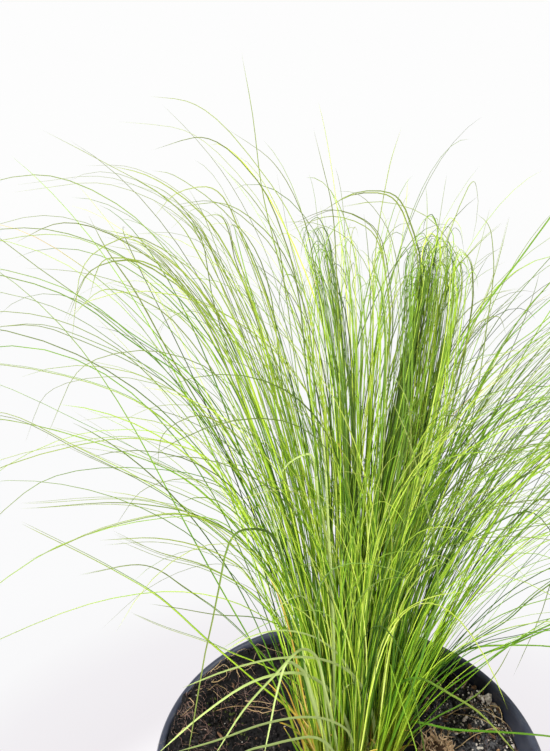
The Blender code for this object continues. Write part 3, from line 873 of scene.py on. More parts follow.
def hashed(column, row, seed):
    """A number from 0 to 1 that looks random but always is the same for the same cell."""
    value = np.sin(column * HASH[0] + row * HASH[1] + seed * HASH[2]) * HASH[3]
    return value - np.floor(value)


def lumps(x, y, size, seed):
    """Domes over scattered centres: the root of one less the squared distance to the nearest."""
    nearest = np.full(np.shape(x), np.inf)
    column = np.floor(x / size)
    row = np.floor(y / size)
    for step_x in (-1, 0, 1):
        for step_y in (-1, 0, 1):
            cell_x = column + step_x
            cell_y = row + step_y
            away_x = x / size - cell_x - hashed(cell_x, cell_y, seed)
            away_y = y / size - cell_y - hashed(cell_x, cell_y, seed + SECOND_SEED)
            nearest = np.minimum(nearest, np.hypot(away_x, away_y))
    return np.sqrt(np.clip(1.0 - (nearest / DOME_REACH) ** 2, 0.0, 1.0))


def soil_height(x, y):
    """The soil's level without its crumbs: it falls to the right and has heaps at the wall.

    Two sine patterns make hollows and humps. A heap climbs smoothly on its way out to the wall
    and fades to both sides of its heading; both ways use the curve 3 s^2 - 2 s^3.
    """
    height, by_x, shift_x, by_y, shift_y = WIDE_HUMPS
    humps = height * np.sin(by_x * x + shift_x) * np.cos(by_y * y - shift_y)
    height, by_x, by_y = NARROW_HUMPS
    humps += height * np.sin(by_x * x - by_y * y)
    out = np.clip((np.hypot(x, y) - HEAP_FROM) / HEAP_WIDTH, 0.0, 1.0)
    for heading, height, reach in HEAPS:
        turn = (np.arctan2(y, x) - math.radians(heading) + math.pi) % math.tau - math.pi
        aside = np.clip(np.abs(turn) / math.radians(reach), 0.0, 1.0)
        humps += height * out ** 2 * (3 - 2 * out) * (1 - aside ** 2 * (3 - 2 * aside))
    return SOIL_LEVEL - SOIL_FALL * x + humps


def bed_height(x, y):
    """The crumbly top: the level, lumps of three sizes, a mound at the crown, a dip at the wall."""
    radius = np.hypot(x, y)
    height = soil_height(x, y) - LUMP_SINK
    for size, rise, seed in LUMPS:
        height = height + rise * lumps(x, y, size, seed)
    height = height + MOUND_HEIGHT * np.exp(-np.maximum(radius - CROWN_RADIUS, 0) / MOUND_REACH)
    return height - WALL_DIP * np.exp((radius - SOIL_EDGE) / WALL_DIP_REACH)


# %% Make the bed
def soil_bed():
    """The bed as a turned mesh: crumbly rings out to the wall, then down it and back in."""
    radii = np.linspace(BED_START, SOIL_EDGE, BED_RINGS)
    pocket = CROWN_TOP - CROWN_POCKET
    top = ring_points(radii, np.zeros(BED_RINGS), BED_SIDES)
    top[..., 2] = bed_height(top[..., 0], top[..., 1])
    under_crown = np.hypot(top[..., 0], top[..., 1]) < CROWN_RADIUS - CROWN_OVERLAP
    top[..., 2] = np.where(under_crown, pocket, top[..., 2])
    step_top = COLLAR_BOTTOM + WALL
    heights = np.array([step_top, step_top - STEP_DROP, BED_WAIST, POT_FLOOR + GAP])
    side = ring_points(inner_radius(heights) - GAP, heights, BED_SIDES)
    points = np.vstack([top.reshape(-1, 3), side.reshape(-1, 3),
                        [[0.0, 0.0, pocket]], [[0.0, 0.0, POT_FLOOR + GAP]]])
    return new_mesh("soil_bed", points, closed_faces(BED_RINGS + len(heights), BED_SIDES))


bed_mesh = soil_bed()
print("soil volume in cubic cm:", round(signed_volume(bed_mesh) / 1000))
finish_piece("soil_bed", bed_mesh, soil_material, ["soil"], sharp=None)

# %% [markdown]
# ## Crumbs, grains and moss
#
# The loose bits are all the same kind of shape: a small many-sided lump, squeezed, turned and
# roughened by chance. Twenty flat faces are enough for a crumb one or two millimetres wide. All
# lumps of one kind are a single array of numbers: base shape times size, turned, moved. Crumbs
# lie everywhere; pale grains, flakes, moss and chips gather where the photograph shows them.

# %% Loose lumps
GOLDEN = (1 + math.sqrt(5)) / 2
NEIGHBOURS = (0.1, 1.2)
UNEVEN = (0.8, 1.25)
LUMP_FOLD = math.radians(25)
WALL_MARGIN = 0.002
SOIL_GUESSES = 16


def twenty_faces():
    """The twelve corners and twenty faces of an icosahedron of radius one, faces outward."""
    corners = []
    for first in (-1.0, 1.0):
        for second in (-GOLDEN, GOLDEN):
            corners += [(0.0, first, second), (first, second, 0.0), (second, 0.0, first)]
    corners = np.array(corners) / math.hypot(1.0, GOLDEN)
    apart = np.linalg.norm(corners[:, None] - corners[None], axis=-1)
    close = (apart > NEIGHBOURS[0]) & (apart < NEIGHBOURS[1])
    a, b, c = np.nonzero(close[:, :, None] & close[None] & close[:, None, :])
    picked = (a < b) & (a < c) & (b != c)
    faces = np.stack([a, b, c], axis=-1)[picked]
    outward = np.einsum("ij,ij->i", np.cross(corners[faces[:, 1]] - corners[faces[:, 0]],
                                             corners[faces[:, 2]] - corners[faces[:, 0]]),
                        corners[faces[:, 0]]) > 0
    return corners, faces[outward]


def random_turns(rng, count):
    """Rotation matrices (count, 3, 3) from random unit quaternions."""
    w, x, y, z = rng.normal(size=(count, 4)).T
    length = np.sqrt(w * w + x * x + y * y + z * z)
    w, x, y, z = w / length, x / length, y / length, z / length
    rows = [[1 - 2 * (y * y + z * z), 2 * (x * y - z * w), 2 * (x * z + y * w)],
            [2 * (x * y + z * w), 1 - 2 * (x * x + z * z), 2 * (y * z - x * w)],
            [2 * (x * z - y * w), 2 * (y * z + x * w), 1 - 2 * (x * x + y * y)]]
    return np.moveaxis(np.array(rows), -1, 0)


def lump_mesh(name, rng, places, sizes, squeeze, rough):
    """Lumps at places (n, 3): squeezed by three factors, turned, roughened and moved."""
    corners, faces = twenty_faces()
    count = len(places)
    shape = corners[None] * (1.0 + rough * rng.uniform(-1.0, 1.0, (count, len(corners), 1)))
    shape = shape * (np.asarray(squeeze) * rng.uniform(*UNEVEN, (count, 3)))[:, None]
    shape = np.einsum("nij,nkj->nki", random_turns(rng, count), shape)
    points = places[:, None] + sizes[:, None, None] * shape
    all_faces = faces[None] + (np.arange(count) * len(corners))[:, None, None]
    return new_mesh(name, points.reshape(-1, 3), [all_faces.reshape(-1, 3)])


def scattered(rng, count, inner, outer):
    """Places spread evenly over the soil between two radii, on top of the bed."""
    radius = np.sqrt(rng.uniform(inner ** 2, outer ** 2, count))
    turn = rng.uniform(0.0, math.tau, count)
    x, y = radius * np.cos(turn), radius * np.sin(turn)
    return np.stack([x, y, bed_height(x, y)], axis=-1)


def on_soil(pixels):
    """Where the sight lines of pixels meet the soil: its level is guessed, read and guessed."""
    places = on_level(pixels, SOIL_LEVEL)
    for _ in range(SOIL_GUESSES):
        level = (places[:, 2] + soil_height(places[:, 0], places[:, 1])) / 2
        places = on_level(pixels, level)
    return places


def gathered(rng, count, centres, spread):
    """Places gathered round some centres in plan, on top of the bed and inside the pot."""
    picked = np.asarray(centres)[rng.integers(0, len(centres), count)]
    plan = picked[:, :2] + rng.normal(0.0, spread, (count, 2))
    radius = np.hypot(plan[:, 0], plan[:, 1])
    held = np.clip(radius, CROWN_RADIUS, SOIL_EDGE - WALL_MARGIN) / radius
    x, y = (plan * held[:, None]).T
    return np.stack([x, y, bed_height(x, y)], axis=-1)


def loose_bits(rng, name, material, places, sizes, lift, squeeze, rough):
    """One kind of loose bit as a finished piece: lumps on the bed, lifted a little."""
    places[:, 2] += lift
    mesh = lump_mesh(name, rng, places, sizes, squeeze, rough)
    finish_piece(name, mesh, material, sharp=LUMP_FOLD)


# %% Scatter the loose bits
CRUMBS = 9000
GRAINS = 420
FLAKES = 18
MOSS_TUFTS = 60
CHIPS = 70
SOIL_SEED = 21
CRUMB_SIZE = 0.00060
CRUMB_SPREAD = 0.50
CRUMB_LIMITS = (0.0003, 0.0026)
GRAIN_SIZE = 0.00038
GRAIN_SPREAD = 0.45
GRAIN_LIMITS = (0.0002, 0.0013)
FLAKE_SIZES = (0.0011, 0.0028)
MOSS_SIZES = (0.0003, 0.0008)
CHIP_SIZES = (0.0010, 0.0030)
GRAIN_HEAP = 0.010
FLAKE_HEAP = 0.0022
MOSS_HEAP = 0.0045
CHIP_HEAP = 0.014
OUTSIDE_CLUMP = 0.030
CRUMB_EDGE = SOIL_EDGE - 0.0012
GRAIN_EDGE = SOIL_EDGE - 0.004
CHIP_EDGE = SOIL_EDGE - 0.006
MOSS_PIXELS = ((236, 711), (226, 708), (248, 718), (232, 738))
GRAIN_PIXELS = ((466, 703), (474, 712), (462, 716), (484, 722), (492, 733))
FLAKE_PIXELS = ((478, 699), (484, 704), (476, 707), (499, 703))

rng = np.random.default_rng(SOIL_SEED)
places = scattered(rng, CRUMBS, CROWN_RADIUS, CRUMB_EDGE)
sizes = np.clip(CRUMB_SIZE * rng.lognormal(0.0, CRUMB_SPREAD, CRUMBS), *CRUMB_LIMITS)
loose_bits(rng, "soil_crumbs", soil_material, places, sizes, lift=0.3 * sizes,
           squeeze=(1.0, 0.85, 0.75), rough=0.28)

grain_centres = on_soil(GRAIN_PIXELS)
places = np.vstack([scattered(rng, GRAINS // 5, OUTSIDE_CLUMP, GRAIN_EDGE),
                    gathered(rng, GRAINS - GRAINS // 5, grain_centres, GRAIN_HEAP)])
sizes = np.clip(GRAIN_SIZE * rng.lognormal(0.0, GRAIN_SPREAD, GRAINS), *GRAIN_LIMITS)
loose_bits(rng, "pale_grains", grain_material, places, sizes, lift=0.6 * sizes + 0.0006,
           squeeze=(1.0, 0.8, 0.65), rough=0.22)

places = gathered(rng, FLAKES, on_soil(FLAKE_PIXELS), FLAKE_HEAP)
sizes = rng.uniform(*FLAKE_SIZES, FLAKES)
loose_bits(rng, "pale_flakes", grain_material, places, sizes, lift=0.0016,
           squeeze=(1.0, 0.55, 0.20), rough=0.25)

places = gathered(rng, MOSS_TUFTS, on_soil(MOSS_PIXELS), MOSS_HEAP)
sizes = rng.uniform(*MOSS_SIZES, MOSS_TUFTS)
loose_bits(rng, "moss_specks", moss_material, places, sizes, lift=0.0006,
           squeeze=(1.0, 1.0, 0.7), rough=0.35)

places = np.vstack([scattered(rng, CHIPS // 2, OUTSIDE_CLUMP, CHIP_EDGE),
                    gathered(rng, CHIPS - CHIPS // 2, grain_centres, CHIP_HEAP)])
sizes = rng.uniform(*CHIP_SIZES, CHIPS)
loose_bits(rng, "bark_chips", chip_material, places, sizes, lift=0.0008,
           squeeze=(1.0, 0.42, 0.16), rough=0.18)
print("loose bits:", CRUMBS, "crumbs,", GRAINS + FLAKES, "grains,", MOSS_TUFTS, "moss,", CHIPS,
      "chips")

# %% [markdown]
# ## Strands
#
# A leaf, a root and a fibre are all the same thing to Blender: a small outline carried along a
# line and closed at both ends. The whole plant has over a thousand of them, so one function
# makes any number at once. It works on arrays of shape (strand, station, point, axis). A thin
# leaf costs about a hundred faces: four corners in its outline and some twenty-five stations.

# %% Carry an outline along many lines
NUMBER_STEP = 0.37
NUMBERS = 97


def unit(vectors):
    """Vectors of length one."""
    return vectors / np.maximum(np.linalg.norm(vectors, axis=-1, keepdims=True), 1e-12)


def folded_outline(points_a_side, depth, thickness):
    """A folded leaf's section, anticlockwise, one half-width from midrib to margin.

    Its upper line rises from the midrib as depth times u squared. Its lower line hangs under
    that by thickness times (1 - u squared), so that the margins are sharp.
    """
    u = np.linspace(1.0, -1.0, 2 * points_a_side + 1)
    upper = np.stack([u, depth * u ** 2], axis=-1)[:-1]
    lower = np.stack([-u, depth * u ** 2 - thickness * (1 - u ** 2)], axis=-1)[:-1]
    return np.vstack([upper, lower])


def round_outline(sides):
    """A circle of radius one with a few corners, anticlockwise."""
    turn = np.arange(sides) * math.tau / sides
    return np.stack([np.cos(turn), np.sin(turn)], axis=-1)


def strands(lines, half_widths, sideways, outline, growth):
    """Closed strands round centre lines (n, stations, 3), each ending in a point.

    A corner (u, v) of the outline goes to line + half-width * (u side + v up), where side is
    the sideways vector made square to the line, and up is line direction cross side. growth
    holds each strand's (tone, dryness). Returns points, face sets and the two carried vectors.
    """
    count, stations, _ = lines.shape
    corners = len(outline)
    tangent = unit(np.gradient(lines, axis=1))
    side = unit(sideways - (sideways * tangent).sum(-1, keepdims=True) * tangent)
    up = np.cross(tangent, side)
    offset = outline[:, :1] * side[:, :-1, None] + outline[:, 1:] * up[:, :-1, None]
    rings = lines[:, :-1, None] + half_widths[:, :-1, None, None] * offset
    body = (stations - 1) * corners
    points = np.concatenate([rings.reshape(count, body, 3), lines[:, -1:]], axis=1)

    station, corner = np.meshgrid(np.arange(stations - 2), np.arange(corners), indexing="ij")
    after = (corner + 1) % corners
    low, high = station * corners, (station + 1) * corners
    quads = np.stack([low + corner, low + after, high + after, high + corner], axis=-1)
    tips = fan_faces(body, body - corners, corners)
    caps = np.arange(corners)[::-1][None]
    starts = (np.arange(count) * (body + 1))[:, None, None]
    faces = [(quads.reshape(1, -1, 4) + starts).reshape(-1, 4),
             (tips[None] + starts).reshape(-1, 3),
             (caps[None] + starts).reshape(-1, corners)]

    steps = np.linalg.norm(np.diff(lines, axis=1), axis=-1)
    metres = np.concatenate([np.zeros((count, 1)), np.cumsum(steps, axis=1)], axis=1)
    share = metres / metres[:, -1:]
    number = np.broadcast_to(np.arange(count)[:, None], (count, body + 1))
    number = number % NUMBERS * NUMBER_STEP
    across = np.tile(outline[:, 0], stations - 1)
    across = np.broadcast_to(np.append(across, 0.0), (count, body + 1))

    def at_points(values):
        return np.concatenate([np.repeat(values[:, :-1], corners, axis=1), values[:, -1:]], axis=1)

    blade = np.stack([across, at_points(metres), number], axis=-1)
    kind = np.broadcast_to(growth[:, None], (count, body + 1, 2))
    grown = np.concatenate([at_points(share)[..., None], kind], axis=-1)
    return points.reshape(-1, 3), faces, {"blade": blade.reshape(-1, 3),
                                          "growth": grown.reshape(-1, 3)}


def finish_strands(name, made, material, nodes=()):
    """Strands as one finished piece, with the two vectors that they carry."""
    points, faces, carries = made
    return finish_piece(name, new_mesh(name, points, faces), material, nodes, carries)


LEAF_OUTLINE = folded_outline(1, 0.48, 0.58)
BROAD_OUTLINE = folded_outline(3, 0.30, 0.22)
print("corners of a thin and a broad leaf:", len(LEAF_OUTLINE), len(BROAD_OUTLINE))

# %% [markdown]
# ## How the clump grows
#
# The frame holds the clump as tufts that stand on the crown in a sunflower spiral: each next
# tuft turns by the golden angle and stands a little further out. Inner tufts are upright. Outer
# ones lean, reach and droop, more to the left and less towards the viewer, which a compass list
# gives for eight headings. The same plan is worked out here as arrays, one row per tuft, so
# that each tuft's fine leaves grow from the place and along the way of its plain solid.

# %% The plan of the tufts
TUFTS = 44
SPREAD = 0.0200
GOLDEN_ANGLE = math.radians(137.508)
CORE_LEAN = math.radians(2.0)
CORE_LENGTH = 0.300
CORE_BEND = math.radians(85.0)
LEAN = np.radians((17, 15, 12, 13, 13, 9, 5, 9))
LENGTH = np.array((0.37, 0.36, 0.37, 0.42, 0.45, 0.37, 0.29, 0.31))
BEND = np.radians((100, 100, 110, 125, 140, 125, 80, 90))
OUTWARD_POWER = 2.4
MIDDLE_RING = 0.5
SECTORS = ("right", "back", "left", "front")


def by_compass(values, heading):
    """Read a compass list at any headings, with straight steps between its entries."""
    place = (heading % math.tau) / math.tau * len(values)
    low = place.astype(int) % len(values)
    share = place - np.floor(place)
    return values[low] * (1 - share) + values[(low + 1) % len(values)] * share


tuft = np.arange(TUFTS)
tuft_ring = np.sqrt((tuft + 0.5) / TUFTS)
tuft_heading = tuft * GOLDEN_ANGLE
tuft_outward = tuft_ring ** OUTWARD_POWER
tuft_root = around(SPREAD * tuft_ring, tuft_heading, CROWN_TOP + GAP)
tuft_lean = CORE_LEAN + (by_compass(LEAN, tuft_heading) - CORE_LEAN) * tuft_outward
tuft_length = CORE_LENGTH + (by_compass(LENGTH, tuft_heading) - CORE_LENGTH) * tuft_outward
tuft_bend = CORE_BEND + (by_compass(BEND, tuft_heading) - CORE_BEND) * tuft_outward


def tuft_names():
    """The frame's own names, such as tuft_left_03; those of the inner part are called middle."""
    sides = ((tuft_heading % math.tau) / (math.pi / 2) + 0.5).astype(int) % 4
    names = []
    for ring, side in zip(tuft_ring, sides):
        label = "middle" if ring < MIDDLE_RING else SECTORS[side]
        number = sum(name.startswith("tuft_%s_" % label) for name in names) + 1
        names.append("tuft_%s_%02d" % (label, number))
    return names


TUFT_NAMES = tuft_names()
print("tufts:", len(TUFT_NAMES), "all in the frame:", set(TUFT_NAMES) <= set(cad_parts))

# %% [markdown]
# ## The line of a leaf
#
# A thin leaf is a springy strip held at one end, which bends under its own weight: hardly at
# all near the root and more and more towards the tip. So its angle from upright at the share s
# of its length is lean + bend s^power, and adding up the little steps in that direction gives
# its line. Near the root, where the sheath holds the leaves together, each line is pulled in to
# its tuft's own axis. Each leaf also wanders slowly to one side and back by a few degrees, so
# that neighbours cross. Stations are closer together where a leaf turns fast.

# %% Leaf lines
LEAF_STATIONS = 21
SHEATH_HOLD = 0.030
EVEN_PART = 0.58
EASED_PART = 0.42
SHEATH_SWELL = 0.30
SHEATH_FADE = 0.020
TAPER_POWER = 1.8
TAPER_EASE = 0.80
TIP_WIDTH = 0.28
BODY_WIDTH = 0.72


def leaf_lines(leaves):
    """Centre lines (n, stations, 3) of leaves given as a dict of arrays, one entry per leaf."""
    even = np.linspace(0.0, 1.0, LEAF_STATIONS)[None]
    power = leaves["power"][:, None]
    share = EVEN_PART * even + EASED_PART * even ** (1.0 / power)
    angle = leaves["lean"][:, None] + leaves["bend"][:, None] * share ** power
    turn = leaves["heading"][:, None] + leaves["sweep"][:, None] * share ** 2
    direction = around(np.sin(angle), turn, np.cos(angle))
    swing = np.sin(math.tau * (leaves["waves"][:, None] * share + leaves["phase"][:, None]))
    direction = unit(direction + swing[..., None] * leaves["wander"][:, None])
    run = np.diff(share, axis=1)[..., None] * leaves["length"][:, None, None]
    steps = (direction[:, 1:] + direction[:, :-1]) / 2 * run
    lines = np.concatenate([np.zeros((len(share), 1, 3)), np.cumsum(steps, axis=1)], axis=1)
    climbed = (share * leaves["length"][:, None])[..., None]
    astray = direction[:, :1] - leaves["axis"][:, None]
    held = astray * (climbed * SHEATH_HOLD / (climbed + SHEATH_HOLD))
    return leaves["root"][:, None] + lines - held


def leaf_sideways(leaves, lines):
    """Each leaf's sideways direction: level and square to its heading, turned by its twist."""
    turn = leaves["heading"][:, None] + np.zeros(lines.shape[:2])
    level = np.stack([-np.sin(turn), np.cos(turn), np.zeros_like(turn)], axis=-1)
    tangent = unit(np.gradient(lines, axis=1))
    level = unit(level - (level * tangent).sum(-1, keepdims=True) * tangent)
    up = np.cross(tangent, level)
    share = np.linspace(0.0, 1.0, lines.shape[1])[None]
    twist = (leaves["twist"][:, None] + leaves["twirl"][:, None] * share)[..., None]
    return level * np.cos(twist) + up * np.sin(twist)


def facing_sideways(lines):
    """Sideways directions that turn each leaf's flat face to the camera."""
    tangent = unit(np.gradient(lines, axis=1))
    return unit(np.cross(CAMERA_PLACE - lines, tangent))


def leaf_widths(leaves, stations):
    """Half-widths: broader in the sheath, even for half the length, then thin to the tip."""
    share = np.linspace(0.0, 1.0, stations)[None]
    climbed = share * leaves["length"][:, None]
    sheath = 1.0 + SHEATH_SWELL * np.exp(-climbed / SHEATH_FADE)
    taper = np.clip(1.0 - share ** TAPER_POWER, 0.0, 1.0) ** TAPER_EASE
    return leaves["width"][:, None] / 2 * sheath * (TIP_WIDTH + BODY_WIDTH * taper)


# %% [markdown]
# ## Sowing the leaves
#
# Each tuft gets its own handful of leaves. Some stay close to the tuft's axis and make the
# dense strands that show through the clump, and the others fan out. Shorter leaves bend less,
# because a springy strip droops with the square of its length. A compass list says how full
# each side is, since the real clump is thin at the left and thick at the right and the back.
# All values come from one seeded generator, so the same clump grows every time.

# %% Draw the ordinary leaves
CORE_RING = 0.45
CORE_LEAVES = 14
OUTER_LEAVES = np.array((13, 16, 22, 7, 4, 5, 20, 15))
SHORTENED = np.array((0.90, 0.92, 1.07, 0.92, 0.86, 0.78, 1.0, 0.95))
THINNER = np.array((0.95, 1.0, 1.0, 1.0, 0.95, 0.85, 0.75, 0.75))
TIGHT_PART = 0.35
TIGHT_STRAY = 0.026
LOOSE_STRAY = 0.072
WANDER = 0.060
ROOT_STRAY = 0.0010
LATE_BEND = np.array((1.5, 1.6, 1.8, 2.0, 2.1, 2.0, 1.6, 1.5))
TIGHT_SHARE = (0.78, 0.20, 2.0, 1.3)
LOOSE_SHARE = (0.50, 0.52, 1.7, 1.5)
CORE_SHARE = (0.78, 0.22, 2.0, 1.3)
LATER = (0.0, 1.7, 1.3, 1.5)
LATE_INSIDE = 2.5
BEND_MORE = 1.15
BEND_SPREAD = 0.30
SWEEP_SPREAD = 0.45
WAVES = (0.6, 1.5)
DEAD_PART = 0.010
TWIST_SPREAD = 0.7
TWIRL_SPREAD = 1.1
LEAF_WIDTH = 0.00062
WIDTH_SPREAD = 0.34
WIDTH_LIMITS = (0.00036, 0.0009)
LEAF_TONE = 0.56
TONE_SPREAD = 0.35
TONE_LIMITS = (0.0, 0.88)
DRIED = (0.05, 0.3)
LIVING = (-0.85, -0.6)


def leaf_looks(rng, total, dead_part):
    """Width, tone, dryness and twist of leaves, drawn by chance."""
    dried = rng.uniform(size=total) < dead_part
    return {
        "twist": rng.normal(0.0, TWIST_SPREAD, total),
        "twirl": rng.normal(0.0, TWIRL_SPREAD, total),
        "width": np.clip(LEAF_WIDTH * rng.lognormal(0.0, WIDTH_SPREAD, total), *WIDTH_LIMITS),
        "tone": np.clip(rng.normal(LEAF_TONE, TONE_SPREAD, total), *TONE_LIMITS),
        "dryness_and_sheen": np.where(dried, rng.uniform(*DRIED, total), rng.uniform(*LIVING, total)),
    }


def drawn_share(rng, total, least, span, low_weight, high_weight):
    """Shares from a beta draw: least plus span times a number between 0 and 1."""
    return least + span * rng.beta(low_weight, high_weight, total)


def sow_leaves(rng):
    """All ordinary leaves of the clump as a dict of arrays; owner is each leaf's tuft."""
    is_core = tuft_ring < CORE_RING
    count = np.where(is_core, CORE_LEAVES, by_compass(OUTER_LEAVES, tuft_heading).round())
    count = count.astype(int)
    owner = np.repeat(tuft, count)
    order = np.arange(len(owner)) - np.repeat(np.cumsum(count) - count, count)
    tight = order < TIGHT_PART * count[owner]
    total = len(owner)

    tilt = np.tan(tuft_lean)[owner]
    axis_x, axis_y = tilt * np.cos(tuft_heading[owner]), tilt * np.sin(tuft_heading[owner])
    stray = np.where(tight, TIGHT_STRAY, LOOSE_STRAY)
    tilt_x = axis_x + stray * rng.normal(size=total)
    tilt_y = axis_y + stray * rng.normal(size=total)
    near = drawn_share(rng, total, *TIGHT_SHARE)
    loose = drawn_share(rng, total, *LOOSE_SHARE)
    part = np.where(is_core[owner], drawn_share(rng, total, *CORE_SHARE),
                    np.where(tight, near, loose))
    part = part * by_compass(SHORTENED, tuft_heading)[owner]
    level = np.zeros((total, 1))
    root = tuft_root[owner] + np.hstack([ROOT_STRAY * rng.normal(size=(total, 2)), level])
    late = by_compass(LATE_BEND, tuft_heading)[owner]
    wander = np.hstack([WANDER * rng.normal(size=(total, 2)), level])
    leaves = {
        "owner": owner,
        "root": root,
        "axis": unit(np.stack([axis_x, axis_y, np.ones(total)], axis=-1)),
        "heading": np.arctan2(tilt_y, tilt_x),
        "lean": np.arctan(np.hypot(tilt_x, tilt_y)),
        "bend": tuft_bend[owner] * part ** 2 * BEND_MORE * rng.lognormal(0.0, BEND_SPREAD, total),
        "power": late + drawn_share(rng, total, *LATER) + LATE_INSIDE * (1.0 - tuft_ring[owner]),
        "length": tuft_length[owner] * part,
        "sweep": rng.normal(0.0, SWEEP_SPREAD, total),
        "wander": wander,
        "waves": rng.uniform(*WAVES, total),
        "phase": rng.uniform(0.0, 1.0, total),
        **leaf_looks(rng, total, DEAD_PART),
    }
    leaves["width"] *= by_compass(THINNER, tuft_heading)[owner]
    return leaves


# %% [markdown]
# ## Keeping the leaves clear
#
# A drawn leaf may dip into the soil, run through the lip or reach past the model's box. Such a
# leaf is changed as little as needed: it bends a little less where it meets something, and it
# is a little shorter where it reaches too far. A few rounds over the whole array settle it.

# %% Move leaves out of trouble
LEAF_MARGIN = 0.008
RIM_CLEARANCE = 0.005
LEAST_HEIGHT = 0.012
ROOT_STATIONS = 2
CLEARING_ROUNDS = 40
LEAF_SEED = 110
LESS_BEND = 0.92
LESS_LENGTH = 0.96
RIGHT_REACH = 0.05
RIGHT_PAINTED_SHADE = 0.18
box_low = np.array(CAD_LOW) - LEAF_MARGIN
box_high = np.array(CAD_HIGH) + LEAF_MARGIN


def in_trouble(lines):
    """Which leaves touch soil, lip or floor, and which ones leave the box."""
    radius = np.hypot(lines[..., 0], lines[..., 1])
    height = lines[..., 2]
    over_soil = radius < RIM_RADIUS - LIP_WIDTH
    past_root = np.arange(lines.shape[1])[None] > ROOT_STATIONS
    in_soil = over_soil & past_root & (
        height < soil_height(lines[..., 0], lines[..., 1]) + RIM_CLEARANCE)
    near_wall = ~over_soil & (radius < RIM_RADIUS + RIM_CLEARANCE)
    in_wall = near_wall & (height < POT_HEIGHT + RIM_CLEARANCE)
    touching = (in_soil | in_wall | (height < LEAST_HEIGHT)).any(axis=1)
    outside = ((lines < box_low) | (lines > box_high)).any(axis=(1, 2))
    return touching, outside


def keep_clear(leaves):
    """Bend less what touches pot or soil, and shorten what leaves the box, round by round."""
    for _ in range(CLEARING_ROUNDS):
        lines = leaf_lines(leaves)
        touching, outside = in_trouble(lines)
        if not (touching | outside).any():
            break
        leaves["bend"] = np.where(touching, leaves["bend"] * LESS_BEND, leaves["bend"])
        leaves["length"] = np.where(outside, leaves["length"] * LESS_LENGTH, leaves["length"])
    print("leaves still touching:", int(touching.sum()), "outside:", int(outside.sum()))
    return lines


def reaches_right(lines):
    """Which leaves reach well to the right, whose tone is lowered as painted shade."""
    return lines[:, -1, 0] > lines[:, 0, 0] + RIGHT_REACH


leaves = sow_leaves(np.random.default_rng(LEAF_SEED))
lines = keep_clear(leaves)
# Painted shade: leaves that reach well to the right get a darker tone.
leaves["tone"] -= RIGHT_PAINTED_SHADE * reaches_right(lines)
print("ordinary leaves:", len(lines), "mean length in mm:", round(1000 * leaves["length"].mean()))

# %% [markdown]
# ## Leaves that follow the photograph
#
# Chance gives a likely clump, but not this one. What makes this clump itself are its long arcs
# at the left, two upright bundles, a few arches over the middle and some spikes above them all.
# These are drawn as streams. A row says how many leaves run side by side, how many
# pixels they spread, where they root in millimetres (x, y), the compass heading of their upright
# plane, and the pixels they pass (x, y, x, y), from low to tip. A bundle's row has its tone as
# well; its leaves end at heights of their own, and nearly half of them in a hook. Each pixel's
# sight line meets the leaf's own plane in one point, so a leaf keeps its picture from the camera
# and has a true place from any side. A leaf that leaves the picture is carried on a little way.

